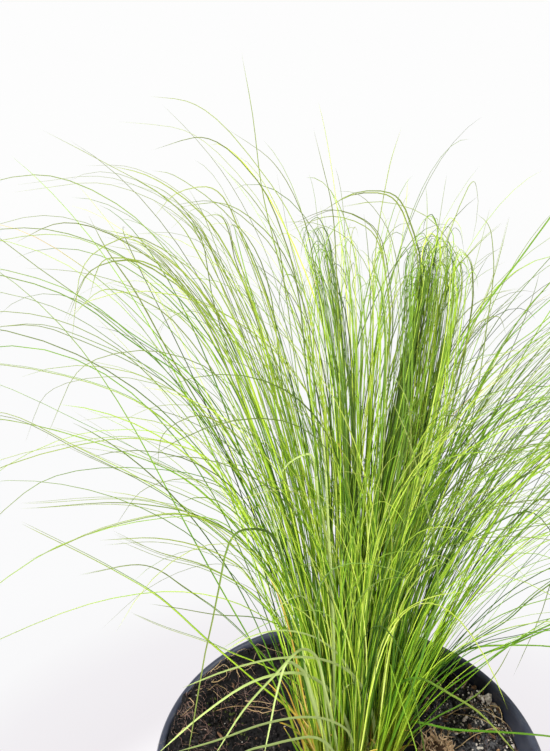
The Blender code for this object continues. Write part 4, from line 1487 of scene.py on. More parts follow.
# %% Streams of the left side
LEFT_STREAMS = (
    (4, 5, -16, 4, 175, 308, 610, 280, 480, 240, 375, 200, 310, 166, 264, 136, 240),
    (4, 6, -12, 8, 170, 308, 590, 270, 440, 225, 330, 180, 272, 150, 250, 100, 236),
    (5, 7, -12, 1, 172, 312, 590, 285, 440, 245, 330, 212, 262, 190, 222, 160, 196),
    (1, 7, -6, -1, 175, 322, 590, 300, 440, 275, 340, 250, 280, 232, 240, 215, 210),
    (2, 5, -9, -5, 170, 322, 560, 312, 400, 298, 300, 265, 235, 215, 200, 165, 205),
    (1, 1, -16, 4, 170, 310, 600, 262, 430, 192, 286, 122, 209, 48, 177, -20, 186),
    (2, 3, -14, -5, 185, 308, 590, 268, 420, 230, 300, 191, 221, 115, 181, 12, 188),
    (1, 1, -12, 1, 178, 312, 600, 275, 420, 240, 290, 191, 201, 127, 166, 84, 165),
    (1, 1, -12, 1, 165, 315, 590, 280, 410, 235, 290, 166, 198, 108, 164, 40, 127),
    (1, 1, -18, -2, 182, 305, 600, 255, 430, 200, 305, 150, 256, 38, 215, -15, 228),
    (1, 1, -18, -2, 195, 306, 610, 262, 450, 205, 315, 152, 258, 56, 223, 15, 242),
    (1, 1, -16, 4, 160, 306, 600, 250, 420, 180, 300, 102, 246, 53, 231, -20, 232),
    (1, 4, -18, 9, 172, 300, 590, 240, 420, 180, 310, 115, 255, 71, 239, -10, 246),
    (1, 1, -14, -5, 200, 308, 600, 262, 420, 178, 261, 127, 238, 92, 255, 70, 350),
    (2, 3, -18, -2, 205, 305, 610, 240, 400, 170, 281, 127, 261, 96, 268, 64, 325),
    (1, 1, -12, 8, 178, 308, 590, 262, 420, 205, 310, 140, 261, 106, 260, 89, 301),
    (1, 1, -14, -11, 200, 306, 620, 262, 480, 205, 360, 150, 304, 106, 290, 65, 325),
    (1, 4, -18, -2, 175, 300, 610, 240, 470, 180, 390, 127, 346, 79, 314, -20, 286),
    (3, 4, -18, 9, 168, 300, 600, 245, 460, 190, 380, 132, 339, 89, 306, -25, 270),
    (1, 1, -12, 8, 170, 300, 600, 230, 450, 160, 365, 94, 308, 30, 262, -20, 228),
    (1, 3, -14, -11, 190, 305, 630, 240, 500, 170, 400, 108, 349, 45, 323, -15, 316),
    (2, 3, -16, 4, 180, 303, 610, 240, 480, 165, 380, 89, 341, 42, 324, -20, 328),
    (2, 3, -12, 8, 170, 310, 590, 275, 430, 235, 340, 191, 313, 164, 324, 154, 346),
    (2, 1, -18, 9, 190, 300, 620, 235, 470, 167, 350, 131, 285, 105, 247, 88, 215),
    (2, 1, -16, 4, 175, 300, 610, 262, 540, 214, 470, 138, 401, 50, 371, -30, 362),
    (1, 3, -18, -2, 195, 303, 620, 262, 510, 173, 393, 107, 379, 50, 394, 25, 446),
    (1, 3, -14, -5, 200, 306, 610, 268, 490, 199, 363, 138, 350, 87, 363, 43, 441),
    (1, 1, -12, 13, 170, 300, 600, 245, 430, 179, 316, 125, 284, 75, 271, 24, 267),
    (1, 3, -6, -1, 170, 318, 590, 270, 400, 234, 300, 217, 249, 203, 213, 189, 189),
    (1, 1, -9, -5, 175, 318, 590, 285, 400, 254, 300, 233, 252, 222, 219, 211, 213),
    (1, 1, -2, 7, 165, 325, 590, 300, 400, 285, 290, 274, 233, 249, 193, 225, 168),
    (1, 1, -4, 3, 190, 325, 590, 290, 400, 250, 260, 205, 188, 175, 195, 152, 220),
    (1, 1, -6, -1, 200, 322, 590, 285, 420, 250, 300, 222, 225, 200, 209, 168, 233),
    (1, 3, -9, -10, 185, 315, 590, 280, 440, 245, 320, 210, 250, 172, 234, 127, 233),
    (1, 1, -9, -10, 205, 300, 560, 262, 470, 225, 425, 197, 415, 165, 432, 158, 473),
    (1, 1, -12, 1, 190, 300, 560, 262, 460, 230, 415, 199, 407, 153, 407, 113, 426),
)

# %% Streams low at the left
LOW_LEFT_STREAMS = (
    (1, 4, -18, 9, 165, 303, 610, 268, 545, 226, 502, 155, 462, 89, 430, -30, 380),
    (2, 1, -12, 13, 165, 300, 620, 240, 530, 184, 478, 107, 446, 31, 424, -30, 416),
    (2, 1, -18, -2, 180, 303, 630, 262, 575, 222, 537, 153, 487, 80, 450, 5, 415),
    (2, 3, -14, -11, 205, 305, 640, 250, 530, 197, 454, 130, 440, 61, 450, -25, 476),
    (1, 3, -18, -2, 200, 303, 630, 250, 510, 180, 442, 95, 436, 31, 458, -25, 498),
    (1, 4, -12, 1, 175, 302, 620, 258, 532, 212, 492, 165, 466, 116, 438, 70, 410),
    (1, 4, -16, 4, 170, 302, 620, 270, 545, 236, 505, 198, 480, 141, 458, 60, 443),
    (1, 4, -18, 9, 175, 302, 610, 268, 535, 232, 499, 176, 468, 128, 447, 50, 425),
    (2, 4, -14, -5, 185, 303, 630, 269, 555, 229, 515, 185, 492, 121, 467, 60, 440),
    (1, 1, -16, 4, 170, 300, 620, 262, 540, 222, 485, 138, 467, 46, 479, 0, 513),
    (2, 3, -18, 9, 180, 300, 665, 271, 606, 240, 560, 205, 528, 150, 508, 20, 508),
    (2, 3, -18, -2, 182, 300, 650, 271, 582, 232, 536, 190, 515, 128, 504, 20, 508),
    (2, 3, -14, -5, 195, 300, 640, 265, 566, 226, 528, 185, 512, 118, 521, 30, 556),
    (1, 3, -18, -2, 195, 300, 640, 262, 565, 214, 518, 138, 518, 61, 540, -20, 592),
    (3, 3, -14, -11, 190, 302, 670, 259, 594, 238, 568, 213, 554, 159, 540, 100, 543),
    (4, 3, -9, -10, 180, 302, 672, 264, 606, 244, 588, 202, 565, 159, 553, 112, 533),
    (2, 1, -10, -16, 200, 300, 700, 259, 651, 218, 611, 190, 591, 145, 565, 80, 575),
    (2, 1, -12, 13, 172, 305, 725, 252, 678, 210, 642, 152, 592, 118, 572, 20, 522),
    (2, 1, -16, 4, 178, 305, 690, 259, 663, 236, 654, 208, 642, 159, 625, 130, 612),
    (1, 1, -12, 8, 182, 306, 650, 275, 623, 252, 617, 218, 615, 178, 608, 150, 603),
    (1, 1, -14, -11, 205, 303, 640, 275, 590, 244, 568, 198, 566, 144, 591, 100, 630),
    (1, 1, -18, -2, 190, 303, 630, 262, 540, 222, 487, 185, 478, 145, 488, 113, 530),
    (1, 1, -10, -16, 200, 303, 650, 272, 622, 228, 600, 175, 592, 113, 599, 0, 640),
)

# %% Streams of the middle
MIDDLE_STREAMS = (
    (1, 1, -4, 3, 165, 335, 580, 322, 380, 303, 241, 262, 173, 188, 103, 150, 98),
    (1, 1, -6, -1, 170, 330, 580, 312, 400, 289, 251, 246, 182, 192, 133, 119, 121),
    (1, 1, -6, -1, 180, 328, 580, 310, 400, 287, 245, 258, 182, 204, 139, 152, 152),
    (1, 1, -4, 3, 175, 325, 580, 300, 400, 262, 241, 217, 163, 190, 131, 163, 104),
    (1, 1, -2, 7, 160, 335, 560, 310, 380, 282, 273, 262, 189, 252, 111, 241, 50),
    (1, 1, 2, 0, 175, 338, 560, 330, 400, 317, 281, 303, 214, 274, 162, 225, 127),
    (1, 1, 0, -5, 180, 342, 560, 341, 400, 338, 273, 333, 201, 324, 162, 315, 126),
    (1, 1, -3, 3, 170, 330, 560, 315, 400, 297, 273, 288, 235, 282, 201, 276, 171),
    (3, 3, 8, 3, 180, 375, 560, 385, 400, 388, 286, 370, 227, 333, 213, 289, 230),
    (2, 3, 8, 3, 185, 385, 540, 405, 380, 413, 241, 390, 198, 354, 197, 319, 217),
    (2, 1, 14, 2, 180, 400, 560, 440, 380, 456, 255, 423, 214, 381, 201, 336, 207),
    (1, 1, 6, -4, 180, 375, 560, 393, 380, 397, 262, 384, 222, 351, 191, 336, 190),
    (1, 3, 0, -5, 185, 350, 560, 365, 380, 366, 268, 344, 240, 316, 229, 278, 230),
    (1, 1, 3, 4, 20, 365, 560, 372, 380, 378, 227, 384, 190, 390, 160, 400, 128),
    (1, 4, -12, 1, 170, 312, 590, 280, 420, 246, 289, 203, 213, 150, 175, 110, 165),
    (1, 1, -12, 8, 175, 308, 590, 250, 420, 214, 300, 195, 222, 165, 190, 140, 180),
    (1, 1, -9, -5, 160, 318, 580, 285, 400, 244, 232, 190, 184, 170, 173, 153, 170),
    (1, 4, -2, 7, 170, 325, 590, 290, 440, 262, 340, 234, 262, 214, 211, 196, 215),
)

# %% Streams of the right side
RIGHT_STREAMS = (
    (1, 1, 6, -4, 10, 395, 560, 425, 380, 445, 245, 476, 184, 478, 195, 469, 256),
    (1, 1, 14, 2, 5, 420, 600, 470, 430, 488, 321, 494, 256, 487, 222, 478, 214),
    (2, 1, 14, -6, 5, 410, 600, 440, 430, 470, 335, 494, 277, 503, 245, 510, 216),
    (2, 1, 18, -2, 0, 410, 600, 440, 420, 470, 328, 510, 272, 550, 217, 585, 170),
    (2, 1, 9, 8, 15, 395, 560, 430, 380, 458, 267, 470, 254, 480, 243, 502, 224),
    (2, 1, 14, 2, 10, 405, 580, 432, 420, 450, 332, 469, 308, 499, 292, 518, 288),
    (1, 1, 14, -6, 0, 410, 600, 440, 450, 465, 350, 482, 322, 498, 318, 506, 337),
    (3, 1, 9, 8, 10, 405, 600, 440, 450, 466, 340, 472, 283, 468, 258, 460, 249),
    (1, 1, 19, 5, 10, 420, 600, 460, 420, 488, 337, 526, 286, 550, 259, 570, 238),
    (1, 4, 18, -2, 0, 420, 600, 465, 420, 499, 350, 530, 304, 550, 281, 590, 235),
    (1, 1, 19, 5, 20, 420, 600, 470, 410, 507, 340, 530, 317, 550, 299, 590, 265),
    (2, 5, 14, 7, 25, 420, 600, 470, 420, 518, 350, 535, 336, 550, 324, 590, 296),
    (3, 6, 18, -2, -5, 405, 600, 440, 490, 483, 424, 527, 372, 550, 346, 575, 320),
    (2, 6, 19, 5, 10, 408, 600, 436, 488, 483, 427, 520, 395, 550, 372, 600, 335),
    (8, 6, 19, 5, 20, 410, 600, 439, 491, 490, 433, 520, 415, 550, 400, 600, 380),
    (2, 5, 14, 2, 0, 415, 620, 455, 530, 497, 465, 527, 433, 550, 412, 590, 385),
    (5, 7, 15, -11, -15, 412, 640, 453, 560, 483, 510, 520, 470, 550, 444, 600, 405),
    (3, 7, 18, -2, 0, 412, 640, 456, 560, 494, 506, 522, 489, 550, 474, 600, 457),
    (1, 6, 19, 5, 15, 412, 650, 470, 560, 512, 509, 530, 501, 550, 493, 600, 480),
    (1, 5, 14, -6, -10, 415, 660, 460, 590, 519, 531, 535, 524, 550, 518, 600, 502),
    (1, 5, 15, -11, -20, 420, 680, 470, 610, 519, 566, 535, 560, 550, 556, 590, 552),
    (4, 6, 12, 14, 30, 410, 650, 455, 560, 495, 480, 520, 440, 550, 415, 590, 392),
    (1, 1, 18, -2, -5, 410, 690, 440, 660, 471, 627, 493, 609, 529, 587, 560, 576),
    (1, 3, 15, -11, -15, 408, 700, 436, 668, 464, 641, 500, 616, 529, 603, 570, 592),
    (3, 1, 19, 5, 5, 410, 695, 440, 665, 474, 641, 507, 620, 536, 594, 560, 578),
    (1, 3, 14, -6, -10, 410, 700, 442, 665, 480, 642, 514, 629, 550, 619, 590, 612),
    (2, 3, 15, -11, -20, 410, 705, 440, 672, 480, 645, 521, 636, 550, 630, 590, 628),
    (2, 1, 18, -2, -8, 412, 700, 440, 668, 469, 649, 514, 645, 550, 646, 580, 650),
    (2, 3, 14, -6, -18, 415, 710, 452, 672, 486, 653, 514, 644, 543, 631, 570, 620),
    (2, 1, 15, -11, -25, 420, 712, 450, 687, 480, 667, 511, 646, 530, 636, 560, 622),
)

# %% Bundles
BUNDLES = (
    (84, 6, 0.18, 8, 6, 5, 362, 640, 379, 510, 399, 400, 410, 340, 420, 285, 427, 236),
    (70, 8.5, 0.5, 8, 6, 5, 374, 640, 402, 510, 420, 400, 429, 335, 436, 280, 440, 226),
    (22, 5, 0.46, 14, 2, 5, 380, 640, 412, 510, 434, 400, 446, 335, 452, 285, 454, 236),
    (16, 4, 0.36, 6, -4, 5, 374, 640, 392, 510, 406, 400, 407, 335, 407, 285, 410, 240),
    (13, 4, 0.4, 6, -4, 178, 364, 640, 376, 510, 384, 400, 387, 335, 386, 285, 380, 240),
    (12, 6, 0.55, 14, 2, 5, 385, 640, 420, 510, 446, 410, 454, 335, 459, 285, 463, 248),
    (46, 7.5, 0.36, -3, 2, 178, 352, 640, 348, 500, 341, 375, 335, 320, 327, 264, 317, 216),
    (13, 5, 0.5, 4, 8, 176, 358, 640, 358, 500, 356, 400, 356, 330, 353, 285, 348, 245),
)


# %% Turn streams into leaves
STREAM_STATIONS = 28
STREAM_SEED = 5
FINE_STEPS = 120
EVEN_WEIGHT = 2.0
ROOT_SPREAD = 0.0035
HEADING_SPREAD = math.radians(7.0)
HOOKED_PART = 0.45
LEFT_OLIVE = 0.30
EDGE = 10.0
CARRY_LEFT = 1.3
CARRY_RIGHT = 4.0
CARRY_DROOP = 30.0
CARRY_RISE = 20.0
STREAM_WIDEST = 0.00080
STREAM_TONE = 0.45
STREAM_TONE_SPREAD = 0.62
BUNDLE_THINNER = 0.82
BUNDLE_DRYNESS_AND_SHEEN = -0.88
BUNDLE_TONE_SPREAD = 0.24
STAGGER = 60.0
STAGGER_SHARE = np.array((0.0, 0.1, 0.3, 0.5, 0.75, 1.0))
HOOK_STEPS = np.array(((0.30, -0.42), (0.80, -0.10), (1.15, 0.75)))
HOOK_REACH = (4.0, 17.0)
DROP_PART = (0.5, 3.0)
DROP_ASIDE = 0.15
MOVED_LOW = 0.35
MOVED_MORE = 0.65
BOWED_ONCE = 0.35
BOWED_TWICE = 0.25


def cubic_at(points, slope, chord, place):
    """Places along cubic pieces that join points with the given slopes."""
    piece = np.clip(np.searchsorted(chord, place, "right") - 1, 0, len(points) - 2)
    width = (chord[piece + 1] - chord[piece])[:, None]
    u = (place - chord[piece])[:, None] / width
    return ((1 + 2 * u) * (1 - u) ** 2 * points[piece] + u * (1 - u) ** 2 * width * slope[piece]
            + u ** 2 * (3 - 2 * u) * points[piece + 1]
            + u ** 2 * (u - 1) * width * slope[piece + 1])


def smooth_line(points, stations):
    """A smooth line through points: cubic pieces whose slopes come from the neighbouring points.

    The measure along the points is the sum of their distances. The stations share out two
    parts of the length and one part of the turning, so that bends get more of them.
    """
    chord = np.append(0.0, np.cumsum(np.linalg.norm(np.diff(points, axis=0), axis=1)))
    slope = np.gradient(points, chord, axis=0)
    even = np.linspace(0.0, chord[-1], FINE_STEPS)
    steps = unit(np.diff(cubic_at(points, slope, chord, even), axis=0))
    turning = np.linalg.norm(np.diff(steps, axis=0), axis=1)
    effort = np.append(0.0, turning) + np.append(turning, 0.0)
    effort = effort / effort.sum() + EVEN_WEIGHT / len(effort)
    spent = np.append(0.0, np.cumsum(effort))
    place = np.interp(np.linspace(0.0, spent[-1], stations), spent, even)
    return cubic_at(points, slope, chord, place)


def line_lengths(lines):
    """Each line's length, the sum of its steps."""
    return np.linalg.norm(np.diff(lines, axis=1), axis=-1).sum(axis=1)


def nearest_tuft(x, y):
    """The tuft whose root is nearest to a place in plan."""
    return int(np.argmin(np.hypot(tuft_root[:, 0] - x, tuft_root[:, 1] - y)))


def beside(rng, pixels, spread):
    """A path beside another: moved by chance, more at the tip, and bowed once and twice."""
    share = np.linspace(0.0, 1.0, len(pixels))[:, None]
    moved = (MOVED_LOW + MOVED_MORE * share) * rng.normal(size=2)
    bowed = BOWED_ONCE * np.sin(math.pi * share) * rng.normal(size=2)
    twice = BOWED_TWICE * np.sin(math.tau * share) * rng.normal(size=2)
    return pixels + spread * (moved + bowed + twice)


def planted(rng, pixels, owner, heading):
    """One leaf's line: from its tuft's root through the pixels on its own upright plane."""
    turn = math.radians(heading) + HEADING_SPREAD * rng.normal()
    start = tuft_root[owner] + [*(ROOT_STRAY * rng.normal(size=2)), 0.0]
    points = on_upright_plane(pixels, start, turn)
    return smooth_line(np.vstack([start, points]), STREAM_STATIONS)


def carried_on(pixels):
    """A row that leaves the picture goes on past its edge and droops there."""
    if EDGE < pixels[-1, 0] < PHOTO_WIDTH - EDGE:
        return pixels
    run = (CARRY_RIGHT if pixels[-1, 0] > EDGE else CARRY_LEFT) * (pixels[-1] - pixels[-2])
    return np.vstack([pixels, pixels[-1] + [run[0], CARRY_DROOP + max(run[1], -CARRY_RISE)]])


def stream_leaves(rng, streams):
    """Owners and lines of all leaves of some streams."""
    owners, stream_lines = [], []
    for count, spread, root_x, root_y, heading, *path in streams:
        owner = nearest_tuft(root_x / 1000, root_y / 1000)
        for _ in range(count):
            own = carried_on(beside(rng, as_pixels(path), spread))
            stream_lines.append(planted(rng, own, owner, heading))
            owners.append(owner)
    return owners, stream_lines


def bundle_leaves(rng, bundles):
    """Owners, lines and tones of the bundles' leaves: each has its own height, half a hook."""
    owners, bundle_lines, tones = [], [], []
    for count, spread, tone, root_x, root_y, heading, *path in bundles:
        for _ in range(count):
            own = beside(rng, as_pixels(path), spread)
            own[:, 1] += rng.uniform(0.0, STAGGER) * STAGGER_SHARE
            if rng.uniform() < HOOKED_PART:
                reach = rng.uniform(*HOOK_REACH)
                side = rng.choice((-1.0, 1.0))
                hook = reach * HOOK_STEPS * [side, 1.0]
                drop = rng.uniform(*DROP_PART) * reach * np.array((DROP_ASIDE * side, 1.0))
                own = np.vstack([own, own[-1] + hook, own[-1] + (hook[-1] + drop)])
            place = np.array((root_x, root_y)) / 1000 + rng.normal(0.0, ROOT_SPREAD, 2)
            owners.append(nearest_tuft(*place))
            bundle_lines.append(planted(rng, own, owners[-1], heading))
            tones.append(tone + rng.normal(0.0, BUNDLE_TONE_SPREAD))
    return owners, bundle_lines, np.clip(tones, 0.0, 1.0)


rng = np.random.default_rng(STREAM_SEED)
stream_owner, stream_lines = stream_leaves(
    rng, LEFT_STREAMS + LOW_LEFT_STREAMS + MIDDLE_STREAMS + RIGHT_STREAMS)
bundle_owner, bundle_lines, bundle_tone = bundle_leaves(rng, BUNDLES)
stream_owner = np.array(stream_owner + bundle_owner)
stream_lines = np.array(stream_lines + bundle_lines)
touching, outside = in_trouble(stream_lines)
print("stream leaves:", len(stream_lines), "touching:", int(touching.sum()),
      "outside:", int(outside.sum()), "highest in mm:", round(1000 * stream_lines[..., 2].max()))
looks = leaf_looks(rng, len(stream_owner), 0.0)
single, bundled = slice(None, -len(bundle_tone)), slice(-len(bundle_tone), None)
to_right = reaches_right(stream_lines)
looks["width"] = np.minimum(looks["width"], STREAM_WIDEST)
looks["width"][bundled] *= BUNDLE_THINNER
looks["tone"][single] = STREAM_TONE + STREAM_TONE_SPREAD * (looks["tone"][single] - STREAM_TONE)
looks["tone"][bundled] = bundle_tone
# Painted shade: stream leaves that reach well to the right get a darker tone.
looks["tone"] -= RIGHT_PAINTED_SHADE * to_right
looks["dryness_and_sheen"] += LEFT_OLIVE * (1.0 - to_right)
looks["dryness_and_sheen"][bundled] = BUNDLE_DRYNESS_AND_SHEEN
clear = ~touching & ~outside
stream_owner, stream_lines = stream_owner[clear], stream_lines[clear]
looks = {key: values[clear] for key, values in looks.items()}
toward = stream_lines[:, STREAM_STATIONS // 2] - stream_lines[:, 0]
streamed = {"owner": stream_owner, "length": line_lengths(stream_lines),
            "heading": np.arctan2(toward[:, 1], toward[:, 0]), **looks}

# %% [markdown]
# ## Broad leaves near the viewer
#
# Some leaves stand between the camera and the clump. They are no wider than a grass leaf should
# be, but so close that they look like ribbons, and their fold and ribs show. They get an
# outline with more corners, turn their flat face to the camera and are drawn in the same way, one
# row for each leaf: its width in metres, then its root, heading and pixels. Three kinds stand
# here: fresh ones, made pale by a painted sheen; darker ones, whose low tone is painted shade of
# the clump; and dead ones that lean on its foot.

# %% Near leaves and their lines
NEAR_LEAVES = (
    (0.0015, -5, -15, 205, 335, 740, 334, 660, 332, 590, 328, 520, 325, 460, 321, 415),
    (0.0014, -9, -10, 215, 322, 728, 308, 680, 298, 630, 288, 580, 276, 530, 262, 480),
    (0.0013, 9, -14, 225, 372, 712, 354, 676, 320, 659, 280, 658, 222, 672, 180, 689),
    (0.0015, 3, -14, 228, 344, 716, 324, 685, 298, 673, 252, 682, 202, 715, 155, 756),
    (0.0011, 3, -14, 232, 350, 735, 334, 722, 308, 717, 260, 725, 215, 741, 172, 753),
    (0.001, 9, -14, 222, 356, 684, 336, 652, 306, 634, 272, 631, 245, 639, 220, 655),
    (0.0015, -5, -15, 236, 312, 700, 300, 668, 286, 664, 277, 692, 270, 726, 263, 760),
    (0.0013, -1.5, -12, 235, 325, 690, 315, 655, 300, 650, 275, 675, 240, 715, 212, 760),
    (0.0009, 9, -14, 222, 375, 740, 369, 704, 362, 690, 352, 683, 344, 689, 342, 706),
    (0.0012, 0, -18, 235, 325, 742, 312, 737, 295, 739, 270, 745, 245, 752, 225, 765),
    (0.0009, -5, -15, 225, 325, 700, 320, 655, 313, 610, 300, 596, 285, 602, 268, 620),
    (0.0016, -9, -5, 200, 332, 620, 328, 550, 318, 496, 306, 454, 290, 462, 276, 482),
)
# Leaves whose darker tone is painted shade of the clump.
SHADED_LEAVES = (
    (0.0013, 15, -11, 300, 388, 720, 400, 684, 418, 678, 450, 694, 482, 715, 520, 758),
    (0.0011, 14, -6, 330, 385, 745, 395, 724, 415, 722, 450, 729, 500, 732, 548, 736),
    (0.0008, 15, -11, -25, 400, 745, 440, 715, 460, 705, 480, 692, 497, 672, 512, 645),
    (0.0007, 18, -2, 0, 410, 640, 470, 540, 530, 512, 556, 545, 548, 592, 513, 677),
    (0.0011, -10, -16, 232, 306, 690, 290, 590, 264, 530, 238, 532, 214, 614, 187, 760),
    (0.001, 9, -14, 292, 428, 634, 438, 590, 434, 541, 424, 496, 409, 440, 388, 392),
    (0.0008, 9, -14, 300, 392, 680, 396, 600, 404, 520, 411, 450, 407, 400, 392, 372),
)
DEAD_LEAVES = (
    (0.0009, -9, -10, 220, 314, 751, 304, 730, 296, 712, 288, 692, 279, 676),
    (0.0011, -1.5, -12, 215, 360, 751, 346, 738, 337, 734, 322, 736, 316, 720),
    (0.001, 3, -14, 190, 363, 751, 361, 744, 358, 730, 354, 716),
    (0.0008, 9, -14, 10, 372, 720, 373, 680, 377, 650, 381, 632),
    (0.0008, 14, -6, 0, 385, 735, 393, 700, 402, 675, 412, 655),
    (0.0008, -14, -11, 200, 302, 690, 288, 625, 276, 590, 266, 572),
)
# A dryness of -1.0 gives the fresh near leaves their full painted sheen.
NEAR_DRYNESS_AND_SHEEN = (-1.0, -0.55, 1.3)
# The middle tone, 0.22, is the shaded leaves' painted shade.
NEAR_TONES = (0.50, 0.22, 0.60)
TONE_STRAY = 0.1
near_counts = (len(NEAR_LEAVES), len(SHADED_LEAVES), len(DEAD_LEAVES))
near_rows = NEAR_LEAVES + SHADED_LEAVES + DEAD_LEAVES
near_owner, near_lines = stream_leaves(rng, [(1, 0.0, *row[1:]) for row in near_rows])
near_owner, near_lines = np.array(near_owner), np.array(near_lines)
near_looks = leaf_looks(rng, len(near_rows), 0.0)
near_looks["width"] = np.array([row[0] for row in near_rows])
near_looks["tone"] = rng.uniform(-TONE_STRAY, TONE_STRAY, len(near_rows))
near_looks["tone"] += np.repeat(NEAR_TONES, near_counts)
near_looks["dryness_and_sheen"] = np.repeat(NEAR_DRYNESS_AND_SHEEN, near_counts)
near = {"owner": near_owner, "length": line_lengths(near_lines),
        "heading": np.radians([row[3] for row in near_rows]), **near_looks}
touching, outside = in_trouble(near_lines)
print("near leaves:", len(near_lines), "touching:", np.nonzero(touching)[0],
      "outside:", np.nonzero(outside)[0])

# %% [markdown]
# ## Sheaths
#
# At its foot every shoot is wrapped in a few short sheaths: the bases of its leaves and the
# remains of dead ones, pale below and straw-coloured where they are dry. They are broad, stiff
# and only some centimetres long, and they close the gap between the thin leaves and the crown.

# %% Draw the sheaths
SHEATHS = 5
SHEATH_STRAY = 0.10
SHEATH_ASIDE = 0.0012
SHEATH_BEND = (0.1, 0.9)
SHEATH_POWER = (1.6, 3.0)
SHEATH_SWEEP = 0.3
SHEATH_WAVES = (0.3, 0.8)
SHEATH_LENGTH = (0.018, 0.055)
SHEATH_WIDTH = (0.0009, 0.0016)
DRY_PART = 0.55
DRY_SHEATH = 1.2
GREEN_SHEATH = 0.15


def sow_sheaths(rng):
    """Short broad leaves round each tuft's foot as a dict of arrays."""
    owner = np.repeat(tuft, SHEATHS)
    total = len(owner)
    tilt = np.tan(tuft_lean)[owner]
    tilt_x = tilt * np.cos(tuft_heading[owner]) + SHEATH_STRAY * rng.normal(size=total)
    tilt_y = tilt * np.sin(tuft_heading[owner]) + SHEATH_STRAY * rng.normal(size=total)
    turn = rng.uniform(0.0, math.tau, total)
    aside = around(SHEATH_ASIDE, turn, 0.0)
    return {
        "owner": owner,
        "root": tuft_root[owner] + aside,
        "axis": unit(np.stack([tilt_x, tilt_y, np.ones(total)], axis=-1)),
        "heading": np.arctan2(tilt_y, tilt_x),
        "lean": np.arctan(np.hypot(tilt_x, tilt_y)),
        "bend": rng.uniform(*SHEATH_BEND, total),
        "power": rng.uniform(*SHEATH_POWER, total),
        "length": rng.uniform(*SHEATH_LENGTH, total),
        "sweep": rng.normal(0.0, SHEATH_SWEEP, total),
        "wander": np.zeros((total, 3)),
        "waves": rng.uniform(*SHEATH_WAVES, total),
        "phase": rng.uniform(0.0, 1.0, total),
        **leaf_looks(rng, total, 0.0),
        "width": rng.uniform(*SHEATH_WIDTH, total),
        "dryness_and_sheen": np.where(rng.uniform(size=total) < DRY_PART, DRY_SHEATH, GREEN_SHEATH),
    }


sheaths = sow_sheaths(rng)
sheath_lines = leaf_lines(sheaths)
print("sheaths:", len(sheath_lines))


# %% Make one piece for each tuft
def joined(parts):
    """Several sets of strands as one: points, face sets and carried vectors put together."""
    starts = np.cumsum([0] + [len(points) for points, _, _ in parts])
    faces = [face_set + start for start, (_, sets, _) in zip(starts, parts) for face_set in sets]
    carries = {label: np.concatenate([part[2][label] for part in parts])
               for label in ("blade", "growth")}
    return np.concatenate([points for points, _, _ in parts]), faces, carries


def own_strands(kind, kind_lines, sideways, outline, index):
    """The strands of one kind of leaf that grow from one tuft."""
    own = kind["owner"] == index
    some = {key: values[own] for key, values in kind.items()}
    growth = np.stack([some["tone"], some["dryness_and_sheen"]], axis=-1)
    return strands(kind_lines[own], leaf_widths(some, kind_lines.shape[1]), sideways[own],
                   outline, growth)


KINDS = ((leaves, lines, leaf_sideways(leaves, lines), LEAF_OUTLINE),
         (streamed, stream_lines, leaf_sideways(streamed, stream_lines), LEAF_OUTLINE),
         (near, near_lines, facing_sideways(near_lines), BROAD_OUTLINE),
         (sheaths, sheath_lines, leaf_sideways(sheaths, sheath_lines), BROAD_OUTLINE))
for index, node in enumerate(TUFT_NAMES):
    parts = [own_strands(*kind, index) for kind in KINDS if (kind[0]["owner"] == index).any()]
    finish_strands(node.replace("tuft", "leaves"), joined(parts), leaf_material, [node])
print("triangles in all leaves:", sum(piece_faces[name] for name in piece_faces
                                      if name.startswith("leaves")))

# %% [markdown]
# ## The crown and the old stump
#
# All shoots grow from one woody crown, a low mound of old bases matted with fibres. Beside it
# stands the stub of a dead shoot, frayed into brown bristles. Each gets a rough mound made the
# same way as the soil, and a few hundred short fibres that stand on it and lean outwards.

# %% Mounds
STUMP_LOW, STUMP_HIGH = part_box("old_stump")
MOUND_ROWS = 16
MOUND_SIDES = 72
MOUND_START = 0.06
DRUM_PART = 0.55
DOME_POWER = 0.6
MOUND_LUMP = 0.0030
FOOT_PART = 0.96
TOP_SUNK = 0.5
CROWN_ROUGHNESS = 0.0022
STUMP_ROUGHNESS = 0.0012
CROWN_SEED = 13.0
STUMP_SEED = 17.0


def mound_mesh(name, low, high, roughness, seed):
    """A closed rough mound that fills a box: a squashed dome with lumps on a short drum.

    From the axis outwards the radius is R sin t and the height rises as cos t to the power 0.6;
    lumps in plan lower the surface by up to the roughness.
    """
    centre = np.array([(low.x + high.x) / 2, (low.y + high.y) / 2])
    radius = (high.x - low.x) / 2
    t = np.linspace(MOUND_START, math.pi / 2, MOUND_ROWS)
    drum = low.z + DRUM_PART * (high.z - low.z)
    dome = ring_points(radius * np.sin(t), drum + (high.z - drum) * np.cos(t) ** DOME_POWER,
                       MOUND_SIDES)
    sunk = 1 - lumps(dome[..., 0] + 1.0, dome[..., 1], MOUND_LUMP, seed)
    dome[..., 2] -= roughness * sunk
    foot = ring_points([radius * FOOT_PART], [low.z], MOUND_SIDES)
    points = np.vstack([dome.reshape(-1, 3), foot.reshape(-1, 3),
                        [[0.0, 0.0, high.z - roughness * TOP_SUNK]], [[0.0, 0.0, low.z]]])
    points[:, :2] += centre
    return new_mesh(name, points, closed_faces(MOUND_ROWS + 1, MOUND_SIDES))


crown_mesh = mound_mesh("crown_mound", CROWN_LOW, CROWN_HIGH, CROWN_ROUGHNESS, CROWN_SEED)
stump_mesh = mound_mesh("stump_mound", STUMP_LOW, STUMP_HIGH, STUMP_ROUGHNESS, STUMP_SEED)
finish_piece("crown_mound", crown_mesh, fibres["crown_fibre"], ["crown"],
             sharp=None)
finish_piece("stump_mound", stump_mesh, fibres["stump_core"], ["old_stump"],
             sharp=None)
print("mound volumes in cubic mm:", round(signed_volume(crown_mesh)),
      round(signed_volume(stump_mesh)))


